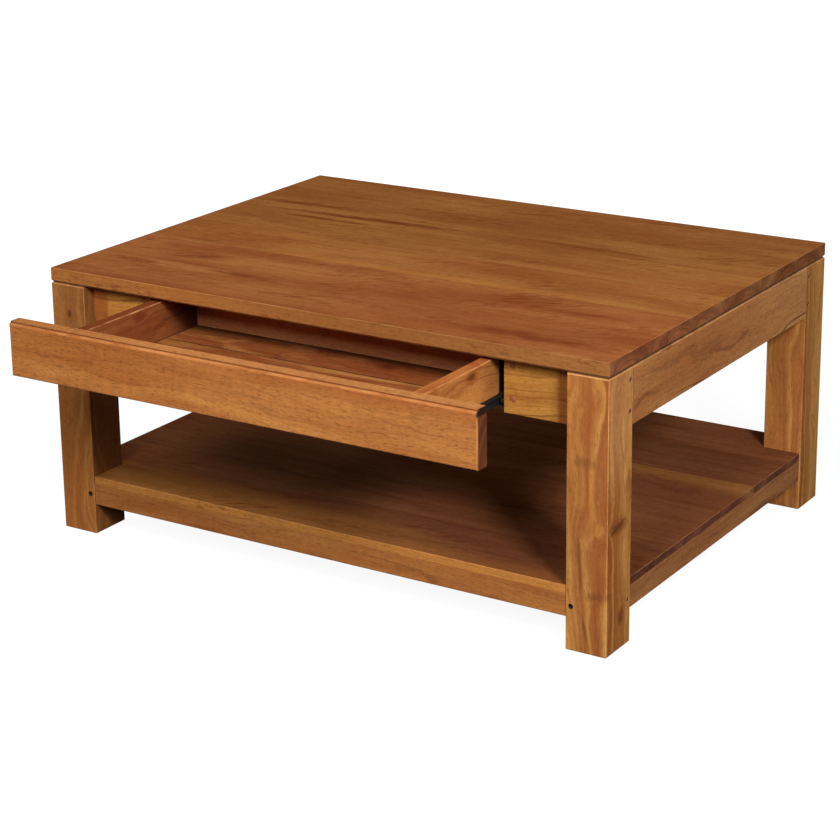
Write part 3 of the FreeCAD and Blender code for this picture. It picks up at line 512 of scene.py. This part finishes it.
# The front left leg is darkened as painted shade and the back right leg lightened as painted light; the
# others differ as wood does
LEG_STAINS = {"front_left": (0.352, 0.128, 0.031), "front_right": (0.420, 0.178, 0.044),
              "back_left": (0.400, 0.160, 0.040), "back_right": (0.530, 0.220, 0.055)}
LEG_DEPTHS = {"front_left": 0.6, "front_right": 1.4, "back_left": 1.4, "back_right": 1.1}
LEG_PLACES = {"front_left": (-0.467, -0.339), "front_right": (0.467, -0.339),
              "back_left": (-0.467, 0.339), "back_right": (0.467, 0.339)}
LEG_KNOTS = {
    "front_left": [((-0.4655, -0.375, 0.368), (0.005, 0.02, 0.008))],
    "front_right": [((0.5, -0.343, 0.190), (0.03, 0.020, 0.009)),
                    ((0.5, -0.333, 0.049), (0.03, 0.007, 0.011))],
}
LEG_MARKS = {
    "front_right": [((0.456, -0.375, 0.135), (0.008, 0.02, 0.055), "y", 0.05, 0.0, 0.55),
                    ((0.484, -0.375, 0.090), (0.030, 0.02, 0.012), "y", 0.2, 0.0, 0.55),
                    ((0.466, -0.375, 0.036), (0.004, 0.02, 0.040), "y", 0.2, 0.0, 0.6),
                    ((0.463, -0.375, 0.288), (0.022, 0.02, 0.014), "y", 0.0, 0.0, 0.50),
                    ((0.500, -0.345, 0.190), (0.02, 0.006, 0.027), "x", 1.30, 0.0, 1.0),
                    ((0.500, -0.333, 0.049), (0.02, 0.005, 0.018), "x", 0.5, 0.0, 0.80)],
}
LEG_FIGURE = dict(bands=0.75, streaks=0.4, lines=0.40, patches=0.9, wander=0.7, pores=0.32)
FRONT_STAIN = stain((0.405, 0.146, 0.036), pores=0.45, ripple=0.07, streaks=0.45, bands=0.25, patches=0.8,
                    rubbed=(0.52, 0.230, 0.076))
# The left block is painted lighter and the right one darker: painted light and painted shade for how the
# light falls on each
BLOCK_STAINS = {side: stain((0.365, 0.137, 0.027), light, lines=0.6, pores=0.35, patches=0.8)
                for side, light in (("left", 1.10), ("right", 0.85))}
APRON_STAIN = stain((0.405, 0.168, 0.053), lines=0.85, bands=0.6, pores=0.4)
SHELF_STAIN = (0.178, 0.061, 0.0225)
SHELF_TONES = {1: 0.92, 2: 0.98, 3: 1.10, 4: 1.16, 5: 1.06, 6: 1.26}
SHELF_FIGURE = dict(rubbed=(0.46, 0.24, 0.09), streaks=0.45, flecks=0.4, patches=0.6, blush=0.4, lines=0.3,
                    fibre=0.11)
RAIL_STAIN = stain((0.345, 0.128, 0.033), lines=0.45, pores=0.4, streaks=0.6)
BOX_STAIN = (0.40, 0.138, 0.036)
BOX_FIGURE = dict(depth=1.55, bands=0.8, lines=0.5, streaks=0.5, wander=1.0, patches=1.0)
SIDE_STAINS = {
    "left": stain((0.228, 0.067, 0.0192), bands=0.5, lines=0.4, streaks=0.6, patches=0.5),
    "right": stain((0.425, 0.145, 0.035), **{**BOX_FIGURE, "depth": 1.25, "lines": 0.35}),
}
SIDE_KNOT = (0.306, -0.417, 0.400), (0.02, 0.012, 0.007)
BOTTOM_STAIN = stain(BOX_STAIN, 0.80, **BOX_FIGURE)
BOTTOM_KNOT = (0.095, -0.31, 0.3512), (0.014, 0.010, 0.02)
BACK_STAIN = stain((0.45, 0.166, 0.061), bands=0.4)
SIDE_RAIL_STAIN = stain((0.320, 0.131, 0.046), lines=0.5, bands=0.4, pores=0.35)
HIDDEN_STAIN = stain(HONEY)
PEG_STAIN = stain((0.14, 0.046, 0.016))
# Sunk pegs are nearly black: dark peg wood with painted shade for their holes
SHADED_SUNK_PEG_STAIN = stain((0.03, 0.012, 0.006))
DOWEL_STAIN = stain((0.37, 0.114, 0.030))

# Where the numbers of each kind of piece start; a number picks the part of the tree that a piece is cut from
SEEDS = dict(
    top_board=0, shelf_board=10, leg=21, side_apron=31, front_block=33, guide_rail=35, top_cleat=37,
    side_rail=39, drawer_side=41, back_apron=43, shelf_rail=44, drawer_front=46, drawer_back=47,
    bottom_board=50, shelf_bearer=55, peg=56, sunk_peg=57, dowel=58,
)


def on_front_edge(s, place):
    """Front edge of the table top, darker towards its right end."""
    x, y, _ = s.split(place)
    rightwards = s.step(x, -0.4, 0.2, 0.0, 0.35)
    return s.product(s.step(y, *TOP_FRONT_Y), rightwards)


def along_front_edge(s, place):
    """Front edge of the table top, more golden towards its right end."""
    x, y, _ = s.split(place)
    rightwards = s.step(x, -0.4, 0.2, 0.45, 0.55)
    return s.product(s.step(y, *TOP_FRONT_Y), rightwards)


def on_front_boards(s, place):
    """Redder stretch of the two front top boards, right of the middle: an oval that fades outwards."""
    x, y, _ = s.split(place)
    away = s.oval((x, y), (0.22, -0.25), (0.36, 0.12))
    return s.step(away, 1.1, 0.3, 0.0, 0.32)


def along_seam(s, place):
    """Golden sapwood along the front seam of the third top board."""
    x, y, _ = s.split(place)
    from_middle = s.math("ABSOLUTE", s.math("SUBTRACT", x, 0.06))
    return s.product(s.step(y, -0.095, -0.115), s.step(from_middle, 0.34, 0.20, 0.0, 0.35))


def painted_shade_under_top(s, place):
    """Painted shade in the groove where the bevelled top edge of the frame meets the table top."""
    return s.step(s.split(place)[2], *UNDER_TOP_Z, 0.0, 0.85)


def painted_shade_on_legs(s, place):
    """Painted shade in the groove under the top, on faces that look inwards, and in the peg holes."""
    x, y, z = s.split(place)
    aside = s.math("ABSOLUTE", x)
    inwards = s.step(aside, *LEG_INNER_X, 0.0, 0.40)
    from_peg = s.distance(s.math("SUBTRACT", aside, PEG_X), s.math("SUBTRACT", z, SHELF_PEG_Z))
    bored = s.product(s.step(from_peg, *PEG_HOLE_RIM, 0.0, 0.95), s.step(y, *PEG_HOLE_Y))
    return s.most(painted_shade_under_top(s, place), inwards, bored)


def painted_shade_on_back_right_leg(s, place):
    """As on the other legs, with its outer face also painted darker: painted shade."""
    return s.most(painted_shade_on_legs(s, place), s.step(s.split(place)[0], *LEG_OUTER_X, 0.0, 0.24))


def painted_shade_on_front_left_leg(s, place):
    """As on the other legs, with its head also painted darker: painted shade."""
    return s.most(painted_shade_on_legs(s, place), s.step(s.split(place)[2], 0.28, 0.34, 0.0, 0.24))


def on_front_right_leg(s, place):
    """Outer face of the front right leg, paler in its upper half."""
    x, _, z = s.split(place)
    return s.product(s.step(x, *LEG_OUTER_X), s.step(z, 0.20, 0.34, 0.0, 0.30))


def on_front_right_foot(s, place):
    """Outer face of the front right leg, redder in its lower half."""
    x, _, z = s.split(place)
    return s.product(s.step(x, *LEG_OUTER_X), s.step(z, 0.24, 0.16, 0.0, 0.22))


def towards_back(s, place):
    """Side aprons paler towards the back."""
    return s.step(s.split(place)[1], -0.15, 0.30, 0.0, 0.28)


def beside_legs(s, place):
    """Red strip of a front block next to its leg, beyond the end of the drawer front."""
    return s.step(s.math("ABSOLUTE", s.split(place)[0]), 0.402, 0.412, 0.0, 0.8)


def round_dowels(s, place):
    """Dark glue line round each dowel's end."""
    x, _, z = s.split(place)
    low, high = DOWEL_Z
    above = s.math("ABSOLUTE", s.math("SUBTRACT", z, (low + high) / 2))
    across = s.math("SUBTRACT", s.math("ABSOLUTE", x), DOWEL_PLACE[0])
    up = s.math("SUBTRACT", above, (high - low) / 2)
    return s.step(s.distance(across, up), *DOWEL_RIM, 0.0, 0.8)


def painted_light_on_shelf_front(s, place):
    """Painted light: the shelf painted golden towards its front, where light reaches under the drawer, more
    so on the left, and palest along its lit front edge.
    """
    x, y, _ = s.split(place)
    edge = s.step(y, *SHELF_EDGE_Y, 0.0, 0.9)
    left = s.product(s.step(y, -0.27, -0.33), s.step(x, -0.1, 0.25, 0.50, 0.0))
    right = s.step(y, -0.325, -0.36, 0.0, 0.28)
    return s.most(edge, left, right)


def on_shelf_right(s, place):
    """Front of the shelf's upper face, redder towards the right leg."""
    x, y, _ = s.split(place)
    behind_edge = s.step(y, *reversed(SHELF_EDGE_Y))
    return s.product(s.step(y, -0.22, -0.29), behind_edge, s.step(x, 0.12, 0.32, 0.0, 0.42))


def along_shelf_seam(s, place):
    """Golden sapwood along the back seam of the fourth shelf board, on the right."""
    x, y, _ = s.split(place)
    return s.product(s.step(y, 0.06, 0.10), s.step(x, 0.05, 0.25, 0.0, 0.34))


def painted_shade_under_drawer(s, place):
    """Painted shade: the shelf darker in its middle, under the drawer: an oval that fades outwards."""
    x, y, _ = s.split(place)
    away = s.oval((x, y), (-0.15, -0.14), (0.30, 0.15))
    return s.step(away, 1.15, 0.35, 0.0, 0.56)


def on_side_top(s, place):
    """Top edge of a drawer side, redder than its faces."""
    return s.step(s.split(place)[2], *DRAWER_SIDE_TOP_Z, 0.0, 0.55)


def painted_shade_in_slide_gap(s, place):
    """Painted shade on a drawer side: outside, in the narrow gap beside its block, and inside, in its back
    corner.
    """
    x, y, _ = s.split(place)
    outside = s.step(s.math("ABSOLUTE", x), *DRAWER_SIDE_OUTER_X)
    gap = s.most(s.step(y, -0.349, -0.339, 0.0, 0.97), s.step(y, -0.410, -0.350, 0.0, 0.35))
    corner = s.step(y, -0.375, -0.285, 0.0, 0.65)
    return s.most(s.product(outside, gap), corner)


def shade_and_joints_in_box(s, place):
    """Painted shade on the drawer bottom along the drawer's sides and back, and dark lines in the joints of
    its boards.
    """
    x, y, _ = s.split(place)
    sides = s.step(s.math("ABSOLUTE", x), 0.2815, 0.2865, 0.0, 0.9)
    back = s.step(y, -0.300, -0.277, 0.0, 0.7)
    from_middle = s.math("ABSOLUTE", s.math("SUBTRACT", y, BOTTOM_MIDDLE_Y))
    from_joint = s.math("ABSOLUTE", s.math("SUBTRACT", from_middle, BOTTOM_JOINT_AWAY))
    return s.most(sides, back, s.step(from_joint, 0.0022, 0.0007, 0.0, 0.85))


def towards_top(s, place):
    """Drawer front redder towards its moulded top, towards the right, and on its ends."""
    x, _, z = s.split(place)
    upwards = s.step(z, 0.345, 0.415, 0.0, 0.45)
    rightwards = s.step(x, 0.0, 0.41, 0.0, 0.22)
    ends = s.step(s.math("ABSOLUTE", x), *DRAWER_FRONT_END_X, 0.0, 0.9)
    return s.most(upwards, rightwards, ends)


def shade_and_dark_ends_on_front(s, place):
    """Drawer front darkened: painted shade in its moulding's quirk, near-black tops of its ends, darker end
    grain on its ends, and painted shade growing faintly to the right.
    """
    x, y, z = s.split(place)
    aside = s.math("ABSOLUTE", x)
    from_quirk = s.math("ABSOLUTE", s.math("SUBTRACT", y, QUIRK_Y))
    quirk = s.product(s.step(from_quirk, 0.0014, 0.0006, 0.0, 0.50), s.step(z, 0.4140, 0.4132))
    dark_end_tops = s.product(s.step(aside, 0.4072, 0.4085), s.step(z, 0.401, 0.407, 0.05, 0.95))
    ends = s.step(aside, *DRAWER_FRONT_END_X, 0.0, 0.42)
    rightwards = s.step(x, -0.1, 0.41, 0.0, 0.07)
    return s.most(quirk, dark_end_tops, ends, rightwards)


def painted_light_on_moulding(s, place):
    """Painted light: the top of the drawer front painted paler than its face, more so towards the right."""
    x, _, z = s.split(place)
    return s.product(s.step(z, *DRAWER_FRONT_TOP_Z), s.step(x, -0.4, 0.0, 0.30, 0.55))


TOP_TINTS = {
    1: dict(dirt=on_front_edge, gild=along_front_edge, redden=on_front_boards),
    2: dict(redden=on_front_boards),
    3: dict(gild=along_seam),
}
SHELF_GILDS = {4: along_shelf_seam}
LEG_TINTS = {
    "front_left": dict(dirt=painted_shade_on_front_left_leg),
    "front_right": dict(dirt=painted_shade_on_legs, rub=on_front_right_leg, redden=on_front_right_foot),
    "back_left": dict(dirt=painted_shade_on_legs),
    "back_right": dict(dirt=painted_shade_on_back_right_leg),
}


def dress_boards():
    """Boards of the top and of the shelf, from front to back."""
    for i in range(1, 7):
        middle = BOARD_WIDTH * (i - 3.5)
        dress_timber(
            f"top_board_{i}", "x", SEEDS["top_board"] + i,
            stain(TOP_STAINS[i], blush=TOP_BLUSH[i], **TOP_FIGURE),
            (0.0, middle + 0.02 * (i % 3 - 1), 0.36), TOP_MARKS.get(i, ()), **TOP_TINTS.get(i, {}))
        dress_timber(
            f"shelf_board_{i}", "x", SEEDS["shelf_board"] + i,
            stain(SHELF_STAIN, SHELF_TONES[i], **SHELF_FIGURE),
            (0.0, middle + 0.03 * (i % 2), 0.02), gild=SHELF_GILDS.get(i, painted_light_on_shelf_front),
            redden=on_shelf_right, dirt=painted_shade_under_drawer)


def dress_frame():
    """Legs, aprons, front blocks and rails."""
    for i, (leg, (x, y)) in enumerate(LEG_PLACES.items()):
        dress_timber(
            f"leg_{leg}", "z", SEEDS["leg"] + i, stain(LEG_STAINS[leg], depth=LEG_DEPTHS[leg], **LEG_FIGURE),
            (x - 0.05, y + 0.06, 0.0), LEG_MARKS.get(leg, ()), LEG_KNOTS.get(leg, ()), **LEG_TINTS[leg])
    for i, (side, x) in enumerate(SIDES.items()):
        dress_timber(
            f"side_apron_{side}", "y", SEEDS["side_apron"] + i, APRON_STAIN, (0.42 * x, 0.0, 0.37),
            rub=towards_back, dirt=painted_shade_under_top)
        dress_timber(
            f"front_block_{side}", "x", SEEDS["front_block"] + i, BLOCK_STAINS[side], (0.0, -0.30, 0.42),
            redden=beside_legs)
        dress_timber(f"guide_rail_{side}", "y", SEEDS["guide_rail"] + i, HIDDEN_STAIN)
        dress_timber(f"top_cleat_{side}", "y", SEEDS["top_cleat"] + i, HIDDEN_STAIN)
        dress_timber(
            f"shelf_rail_{side}", "y", SEEDS["side_rail"] + i, SIDE_RAIL_STAIN, (0.44 * x, 0.0, 0.06))
    dress_timber("back_apron", "x", SEEDS["back_apron"], APRON_STAIN, (0.0, 0.30, 0.37), dirt=painted_shade_under_top)
    for i, (end, y) in enumerate({"front": -1, "back": 1}.items()):
        dress_timber(f"shelf_rail_{end}", "x", SEEDS["shelf_rail"] + i, RAIL_STAIN, (0.0, 0.30 * y, 0.05))
    dress_timber("shelf_bearer", "y", SEEDS["shelf_bearer"], HIDDEN_STAIN)


def dress_drawer():
    """Sides, front, back and bottom of the drawer."""
    (knot_x, knot_y, knot_z), knot_reach = SIDE_KNOT
    for i, (side, x) in enumerate(SIDES.items()):
        dress_timber(
            f"drawer_side_{side}", "y", SEEDS["drawer_side"] + i, SIDE_STAINS[side], (0.25 * x, 0.0, 0.36),
            knots=[((knot_x * x, knot_y, knot_z), knot_reach)], dirt=painted_shade_in_slide_gap, redden=on_side_top)
    dress_timber(
        "drawer_front", "x", SEEDS["drawer_front"], FRONT_STAIN, (0.0, -0.47, 0.30),
        redden=towards_top, rub=painted_light_on_moulding, dirt=shade_and_dark_ends_on_front)
    dress_timber("drawer_back", "x", SEEDS["drawer_back"], BACK_STAIN, (0.0, -0.20, 0.37))
    for i in range(1, 4):
        dress_timber(
            f"drawer_bottom_board_{i}", "x", SEEDS["bottom_board"] + i, BOTTOM_STAIN,
            (0.0, 0.1 * i - 0.62, 0.28), knots=[BOTTOM_KNOT], dirt=shade_and_joints_in_box)


def turned(starts, axes, profile, sides, loop=False, sink=None):
    """Turned pieces side by side: a profile of (distance along, radius) carried once round each axis.

    A point is start + along * axis + radius * (cos(turn) * u + sin(turn) * v), with u and v square to
    the axis. Sink, where given, adds to the distance along. A looped profile closes on itself, as in a
    bored wheel; any other gets a flat face at each end.
    """
    starts, axes = np.array(starts, float), np.array(axes, float)
    along, radius = np.array(profile, float).T
    turn = np.linspace(0.0, 2.0 * np.pi, sides, endpoint=False)
    u = np.cross(axes, np.roll(axes, 1, axis=1))
    v = np.cross(axes, u)
    across, up = radius[:, None] * np.cos(turn), radius[:, None] * np.sin(turn)
    depth = along[:, None] + (sink(along[:, None], across, up) if sink else np.zeros_like(across))
    points = (
        starts[:, None, None, :]
        + depth[None, :, :, None] * axes[:, None, None, :]
        + across[None, :, :, None] * u[:, None, None, :]
        + up[None, :, :, None] * v[:, None, None, :]
    )
    index = np.arange(points.size // 3).reshape(points.shape[:3])
    rows = index if loop else index[:, :-1]
    after = np.roll(index, -1, axis=1) if loop else index[:, 1:]
    quads = np.stack([rows, np.roll(rows, -1, axis=2), np.roll(after, -1, axis=2), after], axis=-1)
    faces = quads.reshape(-1, 4).tolist()
    if not loop:
        faces += index[:, 0, ::-1].tolist() + index[:, -1].tolist()
    return points.reshape(-1, 3).tolist(), faces


def cross_recess(along, across, up):
    """Depth of the driver's cross in a screw head: two crossing slots, cut only where the head is."""
    near, far = np.minimum(abs(across), abs(up)), np.maximum(abs(across), abs(up))
    inside = np.clip((SLOT_HALF_WIDTH - near) / SLOT_EDGE, 0.0, 1.0)
    slot = inside * np.clip((SLOT_REACH - far) / SLOT_END, 0.0, 1.0)
    return np.where(along < HEAD_ROWS_END, SLOT_DEPTH * slot, 0.0)


def peg_profile(radius, length):
    """Rows of a peg: its outer end rounded over, then straight to its inner end."""
    over = np.linspace(0.5, 1.0, 6)
    return [*zip(PEG_ROUNDING * over ** 6, radius * over), (length, radius)]


def screw_profile(head, depth, shank, length):
    """Rows of a screw from the middle of its head, domed as the fourth power, to the end of its shank."""
    over = np.linspace(0.03, 1.0, 14)
    dome = zip(0.4 * depth * over ** 4, head * over)
    return [*dome, (depth, head), (depth, shank), (length - shank, shank), (length, 0.2 * shank)]


def wheel_profile(radius, bore, width):
    """Rows of a roller: bore edge, hollowed near side, rounded tread, hollowed far side."""
    side = [(0.0, bore), (0.0, 1.5 * bore), (0.0006, 1.6 * bore), (0.0006, 0.78 * radius),
            (0.0, 0.83 * radius), (0.0, 0.93 * radius), (0.0005, radius)]
    return side + [(width - along, spread) for along, spread in reversed(side)]


def rivet_profile(shank, grip, head, rise):
    """Rows of a rivet: shank, then a head domed as a quarter of an ellipse."""
    over = np.linspace(0.0, 0.97, 7) * np.pi / 2
    return [(0.0, shank), (grip, shank), *zip(grip + rise * np.sin(over), head * np.cos(over))]


def add_turned(name, material, body, slot, stands_for, *shape, **options):
    """Piece of turned parts that stands for a CAD node and moves with its body."""
    points, faces = turned(*shape, **options)
    data = bpy.data.meshes.new(name)
    data.from_pydata(points, [], faces)
    data.shade_smooth()
    data.set_sharp_from_angle(angle=SHARP_ANGLE)
    data.materials.append(material)
    piece = bpy.data.objects.new(name, data)
    bpy.context.scene.collection.objects.link(piece)
    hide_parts(stands_for)
    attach(piece, body)


def add_pegs():
    """Round pegs in the legs and dowels in the front blocks, end grain outwards."""
    corners = [(x, y) for x in SIDES.values() for y in (-1, 1)]
    peg_wood = {along: timber(f"peg_wood_{along}", along, SEEDS["peg"], PEG_STAIN) for along in "xy"}
    # The sunk pegs' wood is painted nearly black: painted shade in their holes
    shaded_sunk_wood = timber("shaded_sunk_peg_wood", "y", SEEDS["sunk_peg"], SHADED_SUNK_PEG_STAIN)
    dowel_wood = timber("dowel_wood", "y", SEEDS["dowel"], DOWEL_STAIN, dirt=round_dowels)
    add_turned("apron_pegs_side", peg_wood["x"], "table", "peg_wood", "apron_pegs",
               [(x * LEG_FACE_X, y * PEG_Y, z) for x, y in corners for z in APRON_PEG_Z],
               [(-x, 0, 0) for x, _ in corners for _ in APRON_PEG_Z], peg_profile(**APRON_PEG), PEG_SIDES)
    add_turned("apron_pegs_back", peg_wood["y"], "table", "peg_wood", "apron_pegs",
               [(x * PEG_X, LEG_FACE_Y, z) for x in SIDES.values() for z in APRON_PEG_Z],
               [(0, -1, 0)] * 4, peg_profile(**APRON_PEG), PEG_SIDES)
    add_turned("shelf_pegs_side", peg_wood["x"], "table", "peg_wood", "shelf_pegs",
               [(x * LEG_FACE_X, y * PEG_Y, SHELF_PEG_Z) for x, y in corners],
               [(-x, 0, 0) for x, _ in corners], peg_profile(**SHELF_PEG), PEG_SIDES)
    add_turned("shelf_pegs_back", peg_wood["y"], "table", "peg_wood", "shelf_pegs",
               [(x * PEG_X, LEG_FACE_Y, SHELF_PEG_Z) for x in SIDES.values()],
               [(0, -1, 0)] * 2, peg_profile(**SHELF_PEG), PEG_SIDES)
    add_turned("shelf_pegs_front", shaded_sunk_wood, "table", "peg_wood", "shelf_pegs",
               [(x * PEG_X, SUNK_PEG_DEPTH - LEG_FACE_Y, SHELF_PEG_Z) for x in SIDES.values()],
               [(0, 1, 0)] * 2, peg_profile(**SUNK_PEG), PEG_SIDES)
    x, y = DOWEL_PLACE
    add_turned("dowels", dowel_wood, "table", "dowel_wood", "block_dowels",
               [(side * x, y, z) for side in SIDES.values() for z in DOWEL_Z],
               [(0, 1, 0)] * 4, peg_profile(**DOWEL), DOWEL_SIDES)


def add_hardware():
    """Steel slides, rollers on riveted pins, and cross-headed screws."""
    steel = mottled(
        "dark_coated_steel", (0.006, 0.006, 0.006), (0.016, 0.016, 0.014), 300.0, (0.45, 0.65), 0.0, 0.06)
    zinc = mottled("zinc_steel", (0.30, 0.29, 0.26), (0.46, 0.45, 0.42), 500.0, (0.3, 0.5), 1.0)
    plastic = mottled(
        "roller_plastic", (0.014, 0.014, 0.014), (0.032, 0.031, 0.029), 400.0, (0.4, 0.6), 0.0, 0.3)
    for side, x in SIDES.items():
        dress(f"slide_channel_{side}", steel)
        dress(f"slide_rail_{side}", steel)
        for end, body, web, y, out in (("front", "table", CHANNEL_WEB, FRONT_ROLLER_Y, -x),
                                       ("rear", "drawer", RAIL_WEB, REAR_ROLLER_Y, x)):
            add_turned(f"{end}_wheel_{side}", plastic, f"{end}_roller_{side}_wheel", "roller_plastic",
                       f"{end}_roller_{side}", [(x * web + out * ROLLER_GAP, y, AXLE_Z)], [(out, 0, 0)],
                       wheel_profile(**ROLLER), ROLLER_SIDES, loop=True)
            add_turned(f"{end}_rivet_{side}", steel, body, "slide_steel", f"{end}_roller_pin_{side}",
                       [(x * web, y, AXLE_Z)], [(out, 0, 0)], rivet_profile(**RIVET), RIVET_SIDES)
    for name, body, web, ys, out in (("channel_screws", "table", CHANNEL_WEB, CHANNEL_SCREW_Y, 1),
                                     ("rail_screws", "drawer", RAIL_WEB, RAIL_SCREW_Y, -1)):
        add_turned(f"cross_{name}", zinc, body, "screw_steel", name,
                   [(x * (web - out * SLIDE_SCREW["depth"]), y, AXLE_Z) for x in SIDES.values() for y in ys],
                   [(x * out, 0, 0) for x in SIDES.values() for _ in ys],
                   screw_profile(**SLIDE_SCREW), SCREW_SIDES, sink=cross_recess)
    add_turned("cross_cleat_screws", zinc, "table", "screw_steel", "cleat_screws",
               [(x * CLEAT_SCREW_X, y, CLEAT_SCREW_Z) for x in SIDES.values() for y in CLEAT_SCREW_Y],
               [(0, 0, 1)] * 8, screw_profile(**CLEAT_SCREW), SCREW_SIDES, sink=cross_recess)


def add_camera():
    """Camera at the photograph's place, with the lens shifted down as in the photograph."""
    data = bpy.data.cameras.new("camera")
    data.sensor_fit = "HORIZONTAL"
    data.lens = CAMERA_FOCAL_PIXELS / FRAME_PIXELS * data.sensor_width
    data.shift_y = -CAMERA_DROP_PIXELS / FRAME_PIXELS
    data.clip_end = CAMERA_SIGHT
    camera = bpy.data.objects.new("camera", data)
    turn = Matrix.Rotation(CAMERA_AZIMUTH, 4, "Z") @ Matrix.Rotation(math.pi / 2 - CAMERA_ELEVATION, 4, "X")
    roll = Matrix.Rotation(CAMERA_ROLL, 4, "Z")
    camera.matrix_world = Matrix.Translation(CAMERA_PLACE) @ turn @ roll
    bpy.context.scene.collection.objects.link(camera)
    bpy.context.scene.camera = camera


def add_lights():
    """Soft boxes aimed at the table, and an even world that looks white behind it."""
    for name, (place, width, watts) in SOFT_BOXES.items():
        data = bpy.data.lights.new(name, "AREA")
        data.shape = "SQUARE"
        data.size = width
        data.energy = watts
        lamp = bpy.data.objects.new(name, data)
        aim = Vector(LIGHT_TARGET) - Vector(place)
        lamp.matrix_world = Matrix.Translation(place) @ aim.to_track_quat("-Z", "Y").to_matrix().to_4x4()
        bpy.context.scene.collection.objects.link(lamp)
    world = bpy.data.worlds.new("studio")
    bpy.context.scene.world = world
    world.use_nodes = True
    s = Shade(world.node_tree)
    path = s.node("ShaderNodeLightPath")
    shown = s.most(*(path.outputs[f"Is {kind} Ray"] for kind in ("Camera", "Glossy", "Transmission")))
    background = world.node_tree.nodes["Background"]
    background.inputs["Color"].default_value = WHITE
    s.feed(background.inputs["Strength"], s.step(shown, 0.0, 1.0, AMBIENT, 1.0))


def add_floor():
    """White floor that keeps a faint shadow; it glows a little more away from the table."""
    data = bpy.data.meshes.new("floor")
    corners = [(x * FLOOR_REACH, y * FLOOR_REACH, 0) for x, y in ((-1, -1), (1, -1), (1, 1), (-1, 1))]
    data.from_pydata(corners, [], [(0, 1, 2, 3)])
    floor = bpy.data.objects.new("floor", data)
    bpy.context.scene.collection.objects.link(floor)
    material, s, surface = new_material("white_floor")
    path = s.node("ShaderNodeLightPath")
    shown = s.most(path.outputs["Is Camera Ray"], path.outputs["Is Glossy Ray"])
    surface.inputs["Base Color"].default_value = FLOOR_COLOUR
    surface.inputs["Roughness"].default_value = 1.0
    surface.inputs["Specular IOR Level"].default_value = 0.0
    surface.inputs["Emission Color"].default_value = WHITE
    away = s.vector("LENGTH", s.node("ShaderNodeTexCoord").outputs["Object"])
    glow = s.step(away, *GLOW_FADE, *FLOOR_GLOW)
    s.feed(surface.inputs["Emission Strength"], s.product(shown, glow))
    data.materials.append(material)


dress_boards()
dress_frame()
dress_drawer()
add_pegs()
add_hardware()
add_camera()
add_lights()
add_floor()
bpy.context.scene.view_settings.view_transform = "Standard"
